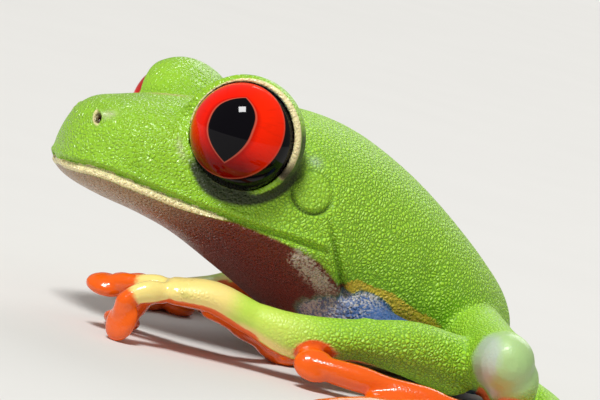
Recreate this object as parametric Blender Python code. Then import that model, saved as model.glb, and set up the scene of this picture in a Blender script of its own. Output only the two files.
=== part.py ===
"""A red-eyed tree frog crouching on all fours, life size, as a still museum model.

Head and trunk are one loft with the eye bulges merged into it, parted by thin cuts at the mouth, the
neck and the loins. Each limb is a chain of tapered segments with a hand or foot, webs and digits. Every
piece is carved back by a small gap from the piece that it grows out of. Lengths are millimetres until
the last step, which makes them metres and puts the origin on the floor, under the middle of the model.

The frog faces -X, its left side is -Y and up is +Z.
"""

import math

import bmesh
import bpy
import numpy as np
from mathutils import Matrix, Vector
from mathutils.bvhtree import BVHTree

MM = 0.001

# Head and eyes
EYE_RADIUS = 3.65
EYE_SPREAD = 6.8        # each eye's centre from the head's mid-plane
EYE_HEIGHT = 14.25      # above the floor, before the head's roll
EYE_AHEAD = {-1: 0.14, 1: 0.3}      # forward of the frame's middle; -1 is the left side and 1 the right one
EYE_DEPTH = 1.3         # how far the eye reaches in behind its opening
EYE_GAP = 0.15
DRUM_GAP = 0.2
LID_RADIUS = {-1: 4.2, 1: 4.1}
DOME_RADIUS = {-1: 4.15, 1: 3.85}   # of the skin behind the eye
LID_FORWARD = 36.0      # degrees the eye opening faces forward of sideways
LID_UP = {-1: -1.6, 1: -18.0}       # degrees it faces upward
LID_DEPTH = {-1: 0.3, 1: 0.9}       # the opening's plane, outward of the eye's centre
HEAD_ROLL = -3.0        # degrees; the left eye is the higher one
ROLL_HEIGHT = 9.5       # height of the roll's axis
TYMPANUM_PLACE = (5.12, 11.72)        # x and z
TYMPANUM_RADIUS = 1.42

# Gaps, finish and size of the solids
GAP = 0.3
VOXEL = 0.28
BODY_SIDES = 48
LIMB_SIDES = 12
ALLOWANCE = 0.05        # each smooth surface is moved out by this, to make up for what its facets cut off
BODY_TRIANGLES = 2050
PALM_TRIANGLES = 230
DIGIT_TRIANGLES = 86

# Cross-sections of head and trunk, from snout to vent:
# x, centre y, top z, bottom z, half width, z of the widest level, squareness above and below
SECTIONS = (
    (-10.4, 0.0, 11.4, 9.9, 1.0, 10.4, 2.0, 2.0),
    (-10.2, 0.0, 12.3, 9.45, 2.2, 10.1, 2.1, 2.0),
    (-9.6, 0.0, 13.6, 8.85, 3.3, 9.8, 2.2, 2.0),
    (-8.45, 0.0, 14.5, 8.35, 4.5, 9.6, 2.5, 2.0),
    (-6.6, 0.0, 15.0, 7.85, 5.7, 9.35, 2.6, 2.0),
    (-4.0, 0.0, 15.6, 7.3, 6.8, 9.1, 2.5, 2.0),
    (-1.0, 0.0, 16.0, 6.4, 7.7, 8.9, 2.4, 2.0),
    (2.5, 0.0, 16.4, 4.8, 8.4, 8.6, 2.3, 2.1),
    (6.0, 0.1, 16.65, 3.1, 8.7, 8.3, 2.2, 2.2),
    (9.5, 0.5, 16.1, 1.5, 8.4, 7.6, 2.1, 2.2),
    (13.0, 1.3, 14.6, 0.2, 8.7, 6.4, 2.0, 2.3),
    (16.6, 2.8, 12.2, -0.2, 8.9, 5.4, 1.95, 2.3),
    (19.2, 4.2, 10.25, -0.3, 7.8, 4.8, 1.85, 2.3),
    (21.1, 5.7, 8.3, -0.3, 6.05, 4.3, 1.8, 2.3),
    (22.9, 7.1, 6.4, -0.2, 4.75, 3.8, 1.8, 2.2),
    (25.0, 8.5, 4.7, -0.1, 3.9, 3.1, 1.8, 2.1),
    (27.0, 9.6, 3.6, 0.1, 3.1, 2.5, 1.8, 2.0),
    (28.8, 10.5, 3.0, 0.3, 2.6, 1.9, 2.0, 2.0),
    (29.9, 11.1, 2.5, 0.7, 1.6, 1.6, 2.0, 2.0),
)

# Limb segments: points along the middle, then the half width and half thickness at each point
LEFT_ARM = {
    "upper_arm": (((9.2, -5.4, 4.8), (12.6, -8.8, 3.6), (16.2, -10.9, 3.1)),
                  ((2.0, 2.0), (1.7, 1.7), (1.9, 1.9))),
    "forearm": (((16.6, -11.5, 3.1), (12.9, -12.1, 3.65), (9.0, -12.3, 3.5), (5.0, -12.2, 2.9),
                 (1.8, -11.4, 3.45)),
                ((2.0, 2.1), (1.85, 1.9), (1.6, 1.42), (1.5, 1.6), (1.15, 1.12))),
    "hand": (((1.8, -11.4, 3.45), (-0.8, -10.6, 4.15), (-3.2, -9.8, 3.95)),
             ((1.2, 1.15), (1.6, 1.08), (1.8, 0.95))),
}
RIGHT_ARM = {
    "upper_arm": (((9.2, 5.8, 4.8), (12.8, 9.8, 3.8), (16.6, 12.4, 3.1)),
                  ((2.0, 2.0), (1.7, 1.7), (2.0, 1.9))),
    "forearm": (((16.8, 12.8, 2.9), (13.4, 13.2, 2.9), (10.0, 12.8, 2.3), (6.7, 12.0, 1.55)),
                ((2.0, 2.1), (1.8, 1.8), (1.5, 1.4), (1.15, 1.0))),
    "hand": (((6.7, 12.0, 1.55), (4.8, 11.2, 1.25), (3.0, 10.4, 1.0)),
             ((1.15, 1.0), (1.55, 0.85), (1.75, 0.75))),
}
LEFT_LEG = {
    "thigh": (((22.0, 4.0, 3.6), (20.4, -4.5, 3.6), (19.2, -11.3, 4.0), (18.0, -16.9, 4.75)),
              ((2.8, 3.0), (2.7, 3.1), (2.3, 2.5), (1.9, 2.0))),
    "shank": (((18.9, -16.6, 3.6), (21.3, -10.6, 2.1), (24.6, -2.8, 1.6)),
              ((1.75, 1.9), (1.9, 1.75), (1.3, 1.3))),
    "tarsus": (((24.6, -2.8, 1.45), (24.9, -10.5, 1.1), (20.4, -17.6, 1.1)),
               ((1.3, 1.2), (1.1, 1.0), (1.3, 1.0))),
    "foot": (((20.4, -17.6, 1.1), (18.3, -18.4, 1.0), (15.8, -18.6, 0.9)),
             ((1.4, 1.0), (1.9, 0.85), (2.3, 0.75))),
}
RIGHT_LEG = {
    "thigh": (((21.8, 10.0, 3.8), (20.2, 17.0, 4.0), (15.6, 23.6, 4.8)),
              ((2.8, 2.8), (2.6, 2.4), (1.75, 1.85))),
    "shank": (((15.6, 24.0, 4.4), (22.2, 19.4, 2.3), (28.4, 13.4, 1.6)),
              ((1.75, 1.9), (1.9, 1.75), (1.3, 1.3))),
    "tarsus": (((28.4, 13.4, 1.45), (30.2, 18.4, 1.1), (29.2, 23.0, 1.1)),
               ((1.3, 1.2), (1.1, 1.0), (1.3, 1.0))),
    "foot": (((29.2, 23.0, 1.1), (27.4, 24.2, 1.0), (25.0, 24.6, 0.9)),
             ((1.4, 1.0), (1.9, 0.85), (2.3, 0.75))),
}

# Digits, innermost first: points from the palm's middle to the disc's centre
FINGER_RADIUS = 0.72
TOE_RADIUS = 0.85
LEFT_FINGERS = (
    ((-0.4, -9.6, 3.3), (3.4, -7.8, 1.9), (6.6, -5.8, 0.5)),
    ((-1.8, -8.9, 3.7), (-3.6, -6.6, 3.0), (-4.5, -4.2, 0.5)),
    ((-2.0, -9.4, 3.95), (-4.7, -8.2, 3.75), (-6.85, -6.4, 2.95)),
    ((-2.2, -10.2, 3.8), (-4.8, -10.4, 3.7), (-6.4, -10.4, 2.9), (-6.5, -10.3, 1.35)),
)
RIGHT_FINGERS = (
    ((4.6, 10.4, 1.05), (4.1, 8.8, 0.85), (3.1, 7.3, 0.5)),
    ((3.8, 10.1, 1.05), (2.2, 8.4, 0.9), (0.6, 7.0, 0.5)),
    ((3.6, 10.5, 1.05), (1.9, 10.4, 0.9), (0.2, 10.2, 0.5)),
    ((3.8, 11.0, 1.05), (2.8, 12.7, 0.9), (1.4, 14.4, 0.5)),
)
LEFT_TOES = (
    ((17.4, -17.9, 0.9), (15.2, -16.9, 0.8), (13.0, -16.4, 0.5)),
    ((17.0, -18.2, 0.9), (13.4, -17.6, 0.8), (10.2, -17.2, 0.5)),
    ((16.8, -18.5, 0.9), (11.8, -16.8, 1.35), (5.8, -14.6, 1.65)),
    ((16.8, -18.8, 0.9), (10.6, -20.6, 0.8), (3.8, -24.2, 0.5)),
    ((17.2, -19.1, 0.9), (13.0, -22.4, 0.8), (9.2, -26.2, 0.5)),
)
RIGHT_TOES = (
    ((26.4, 23.8, 0.9), (24.6, 22.9, 0.8), (22.6, 22.6, 0.5)),
    ((26.0, 24.1, 0.9), (23.0, 23.8, 0.8), (20.0, 24.0, 0.5)),
    ((25.8, 24.6, 0.9), (21.6, 25.6, 0.8), (17.2, 26.6, 0.5)),
    ((26.0, 25.1, 0.9), (21.6, 28.0, 0.8), (17.0, 31.0, 0.5)),
    ((26.4, 25.4, 0.9), (23.8, 29.0, 0.8), (21.4, 32.6, 0.5)),
)
DISC_SIZE = (1.45, 1.2, 0.65)      # half length, half width and half thickness of a digit's disc
# Which way a disc's face looks where it doesn't lie flat: one that bends down and one on its edge
LEFT_HAND_FACING = (None, None, (-0.2, -0.3, 0.9), (-0.85, -0.5, 0.25))
LEFT_FOOT_FACING = (None, None, (-0.3, -0.8, 0.55), None, None)
WEB_THICKNESS = 0.7
WEB_REACH = 4           # how many eighths of each digit the web follows
FREE_FROM = 5           # the eighth from which the digit is a piece of its own

# Parting lines seen from the side, as x and z; the mouth's line ends in the neck's cut
MOUTH = ((-12.5, 9.9), (-10.3, 9.82), (-8.6, 9.98), (-6.15, 9.63), (-3.5, 9.2), (0.0, 8.76), (3.2, 8.4),
         (7.42, 8.05))
NECK = ((8.8, 19.0), (7.9, 13.0), (7.45, 9.5), (7.4, 7.5), (7.7, 4.0), (8.0, -2.0))
LOINS = ((22.6, 15.0), (20.2, 7.0), (18.6, -2.0))

GREEN, ORANGE, CREAM, RED = (0.19, 0.46, 0.05), (0.85, 0.22, 0.02), (0.72, 0.6, 0.4), (0.55, 0.02, 0.01)
COLOURS = {"head": GREEN, "lower_jaw": CREAM, "trunk": GREEN, "rump": GREEN, "eye": RED, "tympanum": GREEN,
           "upper_arm": GREEN, "forearm": GREEN, "hand": ORANGE, "finger": ORANGE,
           "thigh": GREEN, "shank": GREEN, "tarsus": GREEN, "foot": ORANGE, "toe": ORANGE}


def clear_scene():
    for old in list(bpy.data.objects):
        bpy.data.objects.remove(old)


def curve_through(points, count):
    """Points of a Catmull-Rom curve through rows of numbers, evenly spread between the first and last."""
    rows = np.array(points, float)
    if len(rows) == 2:
        share = np.linspace(0, 1, count)[:, None]
        return rows[0] * (1 - share) + rows[1] * share
    padded = np.vstack([2 * rows[0] - rows[1], rows, 2 * rows[-1] - rows[-2]])
    made = []
    for place in np.linspace(0, len(rows) - 1, count):
        i = min(int(place), len(rows) - 2)
        t = place - i
        a, b, c, d = padded[i:i + 4]
        made.append(0.5 * (2 * b + (c - a) * t + (2 * a - 5 * b + 4 * c - d) * t ** 2
                           + (3 * b - a - 3 * c + d) * t ** 3))
    return np.array(made)


def rolled(point, side=1.0):
    """A point of the head after the head's roll about its long axis."""
    turn = math.radians(HEAD_ROLL)
    x, y, z = point[0], point[1] * side, point[2] - ROLL_HEIGHT
    across, up = y * math.cos(turn) - z * math.sin(turn), y * math.sin(turn) + z * math.cos(turn)
    return Vector((x, across, up + ROLL_HEIGHT))


def new_object(name, bm):
    mesh = bpy.data.meshes.new(name)
    bm.to_mesh(mesh)
    bm.free()
    made = bpy.data.objects.new(name, mesh)
    bpy.context.scene.collection.objects.link(made)
    return made


def loft(name, rings):
    """A closed solid through rings of points, which all have the same count."""
    bm = bmesh.new()
    bmesh.ops.create_circle(bm, cap_ends=False, radius=1.0, segments=len(rings[0]))
    ring = list(bm.verts)
    first = ring
    for k, places in enumerate(rings):
        if k:
            edges = [bm.edges.get((ring[i], ring[i - 1])) for i in range(len(ring))]
            extruded = bmesh.ops.extrude_edge_only(bm, edges=edges)["geom"]
            fresh = {v for v in extruded if isinstance(v, bmesh.types.BMVert)}
            ring = [next(e.other_vert(v) for e in v.link_edges if e.other_vert(v) in fresh) for v in ring]
        for vertex, place in zip(ring, places):
            vertex.co = place
    for end in (first, ring):
        bmesh.ops.contextual_create(bm, geom=end)
    bmesh.ops.recalc_face_normals(bm, faces=bm.faces[:])
    return new_object(name, bm)


def section_ring(section):
    """One cross-section of the body, upright and square to the body's course."""
    x, y, top, bottom, half_width, wide, above, below, yaw, roll = section
    across = Vector((-math.sin(yaw), math.cos(yaw), 0.0))
    centre = Vector((x, y, 0.0))
    ring = []
    for k in range(BODY_SIDES):
        turn = 2 * math.pi * k / BODY_SIDES
        c, s = math.cos(turn), math.sin(turn)
        power = above if s > 0 else below
        reach = (abs(c) ** power + abs(s) ** power) ** (-1 / power)
        height = (top - wide) if s > 0 else (wide - bottom)
        place = centre + across * (half_width * reach * c) + Vector((0, 0, wide + height * reach * s))
        ring.append(Matrix.Translation((0, y, ROLL_HEIGHT)) @ Matrix.Rotation(roll, 4, "X")
                    @ Matrix.Translation((0, -y, -ROLL_HEIGHT)) @ place)
    return ring


def body():
    """Head and trunk in one loft."""
    rows = curve_through(SECTIONS, 90)
    slope = np.gradient(rows[:, 1], rows[:, 0])
    fade = np.clip((12.0 - rows[:, 0]) / 8.0, 0, 1)
    roll = math.radians(HEAD_ROLL) * fade * fade * (3 - 2 * fade)
    return loft("body", [section_ring((*row, math.atan(s), r)) for row, s, r in zip(rows, slope, roll)])


def tube(name, points, radii, rings=14, sides=LIMB_SIDES):
    """A limb or digit: an elliptical tube with round ends."""
    middle = curve_through(points, rings)
    size = curve_through(radii, rings)
    along = np.gradient(middle, axis=0)
    made = []
    ends = [(0, -math.cos(t), math.sin(t)) for t in np.linspace(0.25, 1.3, 3)]
    steps = ends + [(k, 0.0, 1.0) for k in range(rings)] + [(rings - 1, -e[1], e[2]) for e in reversed(ends)]
    for k, push, scale in steps:
        forward = Vector(along[k]).normalized()
        side = forward.cross(Vector((0, 0, 1)))
        side = side.normalized() if side.length > 1e-3 else Vector((0, 1, 0))
        up = side.cross(forward)
        wide, thick = size[k]
        centre = Vector(middle[k]) + forward * (push * min(wide, thick))
        made.append([centre + side * (wide * scale * math.cos(a)) + up * (thick * scale * math.sin(a))
                     for a in (2 * math.pi * i / sides for i in range(sides))])
    return loft(name, made)


def ellipsoid(name, centre, radii, axes=None, segments=24, rings=16):
    """An ellipsoid; axes are the directions of its three radii."""
    bm = bmesh.new()
    bmesh.ops.create_uvsphere(bm, u_segments=segments, v_segments=rings, radius=1.0)
    turn = Matrix(axes).transposed().to_4x4() if axes else Matrix.Identity(4)
    whole = Matrix.Translation(centre) @ turn @ Matrix.Diagonal((*radii, 1.0))
    bmesh.ops.transform(bm, matrix=whole, verts=bm.verts)
    return new_object(name, bm)


def step(value, low, high):
    """Rises smoothly from 0 at low to 1 at high; low may be the larger number."""
    t = min(max((value - low) / (high - low), 0.0), 1.0)
    return t * t * (3 - 2 * t)


def lid_axis(side):
    """Where the eye's opening faces; side is -1 for the left eye and 1 for the right one."""
    forward, up = math.radians(LID_FORWARD), math.radians(LID_UP[side])
    out = Vector((-math.sin(forward) * math.cos(up), math.cos(forward) * math.cos(up) * side, math.sin(up)))
    return Matrix.Rotation(math.radians(HEAD_ROLL), 3, "X") @ out


def eye_centre(side):
    return rolled((-EYE_AHEAD[side], EYE_SPREAD, EYE_HEIGHT), side)


def cut_flat(bm, place, outward):
    """Takes off what lies beyond a plane and closes the cut."""
    everything = bm.verts[:] + bm.edges[:] + bm.faces[:]
    cut = bmesh.ops.bisect_plane(bm, geom=everything, plane_co=place, plane_no=outward, clear_outer=True)
    bmesh.ops.holes_fill(bm, edges=[e for e in cut["geom_cut"] if isinstance(e, bmesh.types.BMEdge)])
    bmesh.ops.recalc_face_normals(bm, faces=bm.faces[:])


def eye_bulge(side):
    """The lids and the dome of skin behind them, cut flat at the eye's opening."""
    out = lid_axis(side)
    centre = eye_centre(side)
    bm = bmesh.new()
    bmesh.ops.create_uvsphere(bm, u_segments=40, v_segments=24, radius=1.0)
    inward = Vector((-0.12, -side, -0.35)).normalized()
    for vertex in bm.verts:
        dome = step(vertex.co.dot(out), 0.0, -0.65)
        vertex.co = centre + vertex.co * (LID_RADIUS[side] * (1 - dome) + DOME_RADIUS[side] * dome)
        depth = max(0.0, (vertex.co - centre).dot(inward))
        vertex.co += inward * depth * 0.45
    cut_flat(bm, centre + out * LID_DEPTH[side], out)
    return new_object("eye_bulge", bm)


def eyeball(name, side, margin=0.0):
    """The eye as far in as it reaches; with a margin, the socket that it sits in."""
    centre = eye_centre(side)
    bm = bmesh.new()
    bmesh.ops.create_uvsphere(bm, u_segments=24, v_segments=12, radius=EYE_RADIUS + margin)
    bmesh.ops.transform(bm, matrix=Matrix.Translation(centre), verts=bm.verts)
    inward = -lid_axis(side)
    cut_flat(bm, centre + inward * (EYE_DEPTH - LID_DEPTH[side] + margin), inward)
    return new_object(name, bm)


def disc(name, centre, forward, normal):
    """The round pad at a digit's tip."""
    side = normal.cross(forward).normalized()
    return ellipsoid(name, centre, DISC_SIZE, (forward, side, forward.cross(side)), segments=20, rings=14)


def eighths(points):
    return [Vector(place) for place in curve_through(points, 9)]


def digit_tip(name, points, radius, facing=None):
    """The free part of a finger or toe, with its pad; the pad lies flat unless it faces another way."""
    course = eighths(points)
    shells = [tube(name, course[FREE_FROM:], [(radius, radius)] * (9 - FREE_FROM), rings=8)]
    forward = course[-1] - course[-2]
    normal = Vector(facing).normalized() if facing else Vector((0, 0, 1))
    forward -= normal * forward.dot(normal)
    shells.append(disc(name, course[-1], forward.normalized(), normal))
    return solid(name, shells, DIGIT_TRIANGLES)


def web(name, first, second):
    """A sheet of skin between two digits, with a hollow free edge."""
    a, b = eighths(first)[:WEB_REACH + 1], eighths(second)[:WEB_REACH + 1]
    bm = bmesh.new()
    bmesh.ops.create_grid(bm, x_segments=4, y_segments=WEB_REACH, size=0.5)
    for vertex in bm.verts:
        share = vertex.co.x + 0.5
        step = (vertex.co.y + 0.5) * WEB_REACH
        k = round(step)
        hollow = 0.35 * 4 * share * (1 - share) if k == WEB_REACH else 0.0
        vertex.co = a[k].lerp(b[k], share).lerp(a[0].lerp(b[0], share), hollow)
    bmesh.ops.recalc_face_normals(bm, faces=bm.faces[:])
    sheet = new_object(name, bm)
    thick = sheet.modifiers.new("Thickness", "SOLIDIFY")
    thick.thickness = WEB_THICKNESS
    thick.offset = 0.0
    return sheet


def palm(name, segment, digits, radius):
    """A hand or foot: its flat middle, the roots of its digits and the webs between them."""
    shells = [tube(name, *segment)]
    radii = [(radius, radius)] * (FREE_FROM + 1)
    shells += [tube(name, eighths(d)[:FREE_FROM + 1], radii, rings=8) for d in digits]
    shells += [web(name, first, second) for first, second in zip(digits, digits[1:])]
    return solid(name, shells, PALM_TRIANGLES)


def apply_modifiers(made):
    graph = bpy.context.evaluated_depsgraph_get()
    mesh = bpy.data.meshes.new_from_object(made.evaluated_get(graph))
    made.modifiers.clear()
    made.data = mesh


def joined(name, objects):
    """One object that holds all the shells, still overlapping."""
    bm = bmesh.new()
    for part in objects:
        if part.modifiers:
            apply_modifiers(part)
        bm.from_mesh(part.data)
        bpy.data.objects.remove(part)
    return new_object(name, bm)


def relax(made, rounds):
    """Smooths the remeshed surface without shrinking it, by steps in and out."""
    mesh = made.data
    count = len(mesh.vertices)
    place = np.empty(count * 3)
    mesh.vertices.foreach_get("co", place)
    place = place.reshape(-1, 3)
    edges = np.empty(len(mesh.edges) * 2, int)
    mesh.edges.foreach_get("vertices", edges)
    a, b = edges.reshape(-1, 2).T
    links = np.bincount(a, minlength=count) + np.bincount(b, minlength=count)
    for _ in range(rounds):
        for step in (0.6, -0.62):
            mean = np.zeros_like(place)
            for axis in range(3):
                total = np.bincount(a, place[b, axis], count) + np.bincount(b, place[a, axis], count)
                mean[:, axis] = total / links
            place += step * (mean - place)
    mesh.vertices.foreach_set("co", place.ravel())
    mesh.update()


def thinned(made, triangles):
    thin = made.modifiers.new("Facets", "DECIMATE")
    thin.use_collapse_triangulate = True
    thin.ratio = min(1.0, triangles / sum(len(p.vertices) - 2 for p in made.data.polygons))
    apply_modifiers(made)
    return made


def rest_on_floor(made):
    """Flattens whatever reaches below the floor into a small sole."""
    for vertex in made.data.vertices:
        vertex.co.z = max(vertex.co.z, 0.0)


def swell(made, margin):
    """Moves the whole surface outward."""
    places = [vertex.co + vertex.normal * margin for vertex in made.data.vertices]
    for vertex, place in zip(made.data.vertices, places):
        vertex.co = place
    made.data.update()


def solid(name, shells, triangles, rounds=3):
    """Shells merged into one smooth faceted solid, with flat soles where they reach the floor."""
    made = joined(name, shells)
    merge = made.modifiers.new("Merge", "REMESH")
    merge.mode = "VOXEL"
    merge.voxel_size = VOXEL
    apply_modifiers(made)
    relax(made, rounds)
    swell(made, ALLOWANCE)
    rest_on_floor(made)
    return thinned(made, triangles)


def grown(made, margin):
    """A copy of a piece with its surface moved outward."""
    bm = bmesh.new()
    bm.from_mesh(made.data)
    bm.normal_update()
    moved = [vertex.co + vertex.normal * margin for vertex in bm.verts]
    for vertex, place in zip(bm.verts, moved):
        vertex.co = place
    return new_object(made.name + "_clearance", bm)


def subtract(made, tool):
    """Cuts the tool out of a piece."""
    tool.hide_render = True
    tool.display_type = "WIRE"
    cut = made.modifiers.new("Cut", "BOOLEAN")
    cut.operation = "DIFFERENCE"
    cut.solver = "EXACT"
    cut.object = tool
    apply_modifiers(made)


def pieces_of(made):
    """The loose parts of an object as objects of their own, largest first."""
    bm = bmesh.new()
    bm.from_mesh(made.data)
    bpy.data.objects.remove(made)
    left = set(bm.verts)
    groups = []
    while left:
        seed = left.pop()
        group, edge = {seed}, [seed]
        while edge:
            fresh = [e.other_vert(v) for v in edge for e in v.link_edges]
            edge = [v for v in dict.fromkeys(fresh) if v not in group]
            group.update(edge)
        left -= group
        groups.append(group)
    made = []
    for group in sorted(groups, key=len, reverse=True):
        copy = bm.copy()
        keep = {v.index for v in group}
        bmesh.ops.delete(copy, geom=[v for v in copy.verts if v.index not in keep], context="VERTS")
        made.append(new_object("piece", copy))
    bm.free()
    return made


def bounds(made):
    corners = np.array([tuple(v.co) for v in made.data.vertices])
    return corners.min(0), corners.max(0)


def carved(made, clearances):
    """A piece cut back from its neighbours; only its largest part stays."""
    name = made.name
    low, high = bounds(made)
    for tool in clearances:
        near, far = bounds(tool)
        if (near < high).all() and (far > low).all():
            subtract(made, tool)
    kept, *scraps = pieces_of(made)
    for scrap in scraps:
        bpy.data.objects.remove(scrap)
    kept.name = name
    return kept


def strip_cut(name, line):
    """A thin sheet right across the body, along a line drawn on its side view."""
    bm = bmesh.new()
    bmesh.ops.create_grid(bm, x_segments=1, y_segments=len(line) - 1, size=0.5)
    for vertex in bm.verts:
        x, z = line[round((vertex.co.y + 0.5) * (len(line) - 1))]
        vertex.co = rolled((x, vertex.co.x * 40.0, z))
    sheet = new_object(name, bm)
    thick = sheet.modifiers.new("Thickness", "SOLIDIFY")
    thick.thickness = GAP
    thick.offset = 0.0
    apply_modifiers(sheet)
    return sheet


def body_pieces():
    """Head, lower jaw, trunk and rump, with sockets for the eyes and eardrums."""
    whole = solid("flesh", [body()] + [eye_bulge(side) for side in (-1, 1)], BODY_TRIANGLES, rounds=4)
    surface = BVHTree.FromObject(whole, bpy.context.evaluated_depsgraph_get())
    made = {}
    tools = []
    for side, word in ((-1, "left"), (1, "right")):
        x, z = TYMPANUM_PLACE
        z = rolled((x, 8.0, z), side).z
        place, normal, _, _ = surface.ray_cast(Vector((x, 30.0 * side, z)), Vector((0, -side, 0)))
        forward = Vector((0, 0, 1)).cross(normal).normalized()
        size = (TYMPANUM_RADIUS, TYMPANUM_RADIUS, 0.55)
        axes = (forward, normal.cross(forward), normal)
        drum = ellipsoid("tympanum_" + word, place - normal * 0.25, size, axes, 16, 8)
        made["tympanum_" + word] = drum
        made["eye_" + word] = eyeball("eye_" + word, side)
        tools += [grown(drum, DRUM_GAP), eyeball("socket_" + word, side, EYE_GAP)]
    around = grown(whole, GAP)
    tools += [strip_cut(name, line) for name, line in (("neck", NECK), ("mouth", MOUTH), ("loins", LOINS))]
    for tool in tools:
        subtract(whole, tool)
        bpy.data.objects.remove(tool)
    parts = pieces_of(whole)
    named = (("head", (-4.0, 12.0)), ("lower_jaw", (-3.0, 7.9)),
             ("trunk", (13.0, 7.0)), ("rump", (24.0, 3.5)))
    for part in parts[:4]:
        spot = sum((v.co for v in part.data.vertices), Vector()) / len(part.data.vertices)
        name = min(named, key=lambda entry: math.dist(entry[1], (spot.x, spot.z)))[0]
        part.name = name
        made[name] = part
    for scrap in parts[4:]:
        bpy.data.objects.remove(scrap)
    return made, around


def limb(word, segments, digits, radius, facings, digit_name, clearances):
    """A whole arm or leg, from its root outward; each piece clears all the pieces made before it."""
    made = {}

    def keep(piece):
        rest_on_floor(piece)
        around = grown(piece, GAP)
        piece = carved(piece, clearances)
        clearances.append(around)
        made[piece.name] = piece

    *long_bones, last = segments
    for name in long_bones:
        keep(tube(f"{name}_{word}", *segments[name], rings=5))
    keep(palm(f"{last}_{word}", segments[last], digits, radius))
    for k, (points, facing) in enumerate(zip(digits, facings), 1):
        keep(digit_tip(f"{digit_name}_{k}_{word}", points, radius, facing))
    return made


def finish(made):
    """Colours the pieces, makes millimetres metres and puts the origin under the model's middle."""
    corners = np.array([tuple(v.co) for piece in made.values() for v in piece.data.vertices])
    low, high = corners.min(0), corners.max(0)
    shift = Vector(((low[0] + high[0]) / -2, (low[1] + high[1]) / -2, -low[2]))
    for name, piece in made.items():
        bm = bmesh.new()
        bm.from_mesh(piece.data)
        bmesh.ops.triangulate(bm, faces=bm.faces[:])
        bmesh.ops.remove_doubles(bm, verts=bm.verts[:], dist=0.004)
        bmesh.ops.dissolve_degenerate(bm, edges=bm.edges[:], dist=0.004)
        bmesh.ops.triangulate(bm, faces=bm.faces[:])
        for vertex in bm.verts:
            vertex.co = (vertex.co + shift) * MM
        bm.to_mesh(piece.data)
        bm.free()
        piece.name = name
        colour = next(value for key, value in COLOURS.items() if name.startswith(key))
        material = bpy.data.materials.new(name)
        material.use_nodes = True
        shader = material.node_tree.nodes["Principled BSDF"]
        shader.inputs["Base Color"].default_value = (*colour, 1.0)
        shader.inputs["Roughness"].default_value = 0.15 if name.startswith("eye") else 0.5
        piece.data.materials.clear()
        piece.data.materials.append(material)


def main():
    clear_scene()
    made, around_body = body_pieces()
    clearances = [around_body]
    for word, segments, digits, radius, facings, digit_name in (
            ("left", LEFT_LEG, LEFT_TOES, TOE_RADIUS, LEFT_FOOT_FACING, "toe"),
            ("right", RIGHT_LEG, RIGHT_TOES, TOE_RADIUS, (None,) * 5, "toe"),
            ("left", LEFT_ARM, LEFT_FINGERS, FINGER_RADIUS, LEFT_HAND_FACING, "finger"),
            ("right", RIGHT_ARM, RIGHT_FINGERS, FINGER_RADIUS, (None,) * 4, "finger")):
        made.update(limb(word, segments, digits, radius, facings, digit_name, clearances))
    for tool in clearances:
        bpy.data.objects.remove(tool)
    finish(made)


if __name__ == "__main__":
    main()
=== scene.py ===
"""Finish of a life-size tree frog: one skin with its lids, folds and markings, two eyes, and a plain stage.

The forms are worked out in millimetres in the frog's own frame, where it faces -X, its left side is -Y, up
is +Z and the floor is at 0. The last step of each piece moves it to the frame of the solids, in metres.
"""
import math

import bmesh
import bpy
import numpy as np
from bpy.props import FloatProperty, FloatVectorProperty, IntProperty, PointerProperty
from mathutils import Matrix, Vector
from mathutils.bvhtree import BVHTree
from mathutils.kdtree import KDTree


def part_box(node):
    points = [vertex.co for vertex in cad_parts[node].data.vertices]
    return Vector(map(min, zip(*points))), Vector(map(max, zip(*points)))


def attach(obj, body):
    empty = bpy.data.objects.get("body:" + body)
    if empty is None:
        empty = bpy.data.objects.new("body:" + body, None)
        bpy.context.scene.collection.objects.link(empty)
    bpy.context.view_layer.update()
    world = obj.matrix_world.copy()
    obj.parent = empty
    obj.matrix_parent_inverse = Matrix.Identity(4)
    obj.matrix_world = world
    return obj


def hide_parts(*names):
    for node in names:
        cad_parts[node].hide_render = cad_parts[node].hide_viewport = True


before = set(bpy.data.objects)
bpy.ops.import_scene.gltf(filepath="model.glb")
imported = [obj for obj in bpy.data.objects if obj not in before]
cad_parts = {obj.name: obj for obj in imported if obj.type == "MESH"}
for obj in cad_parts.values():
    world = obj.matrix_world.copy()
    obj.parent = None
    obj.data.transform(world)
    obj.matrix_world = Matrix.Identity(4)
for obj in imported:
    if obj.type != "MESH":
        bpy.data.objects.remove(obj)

bl_info = {
    "name": "Tree frog finish",
    "version": (1, 0, 0),
    "blender": (4, 5, 0),
    "location": "View3D > Sidebar > Tree frog",
    "description": "Skin, eyes and stage of a life-size red-eyed tree frog",
    "category": "Object",
}

MM = 0.001
SIDES = ((-1, "left"), (1, "right"))

# Head and eyes, as in the solids, with the lids a little inside them; -1 is the left side, 1 the right
EYE_RADIUS = 3.65
EYE_SPREAD = 6.8                # from the head's middle to the eye's centre
EYE_HEIGHT = 14.25
EYE_AHEAD = {-1: 0.14, 1: 0.3}
EYE_DEPTH = 1.3                 # from the lids' opening back to the eyeball's flat rear
LID_RADIUS = {-1: 4.17, 1: 3.97}
DOME_RADIUS = {-1: 4.15, 1: 3.8}        # of the skin behind the eye
LID_FORWARD = 36.0              # degrees that the eye's opening faces forward of sideways
LID_UP = {-1: -1.6, 1: -18.0}   # degrees that it faces up
LID_DEPTH = {-1: 0.3, 1: 0.9}   # from the eye's centre out to the opening
RIM_PEAK = math.radians(30.0)   # where the rim is thickest, up from the rear
RIM_SHARES = (0.42, 0.58)       # its thickness opposite, and what the peak adds, as shares of the thickest
DOME_INWARD = (-0.12, -1.0, -0.35)      # where the dome runs into the head, on the right side
DOME_STRETCH = 0.45
HEAD_ROLL = -3.0                # degrees; the left eye is the higher one
ROLL_HEIGHT = 9.5               # height of the roll's axis
ROLL_FADE = (12.0, 4.0)         # where the roll has faded to nothing, and where it is whole
TYMPANUM_PLACE = (5.12, 11.72)  # x and z
TYMPANUM_RADIUS = 1.42
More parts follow.
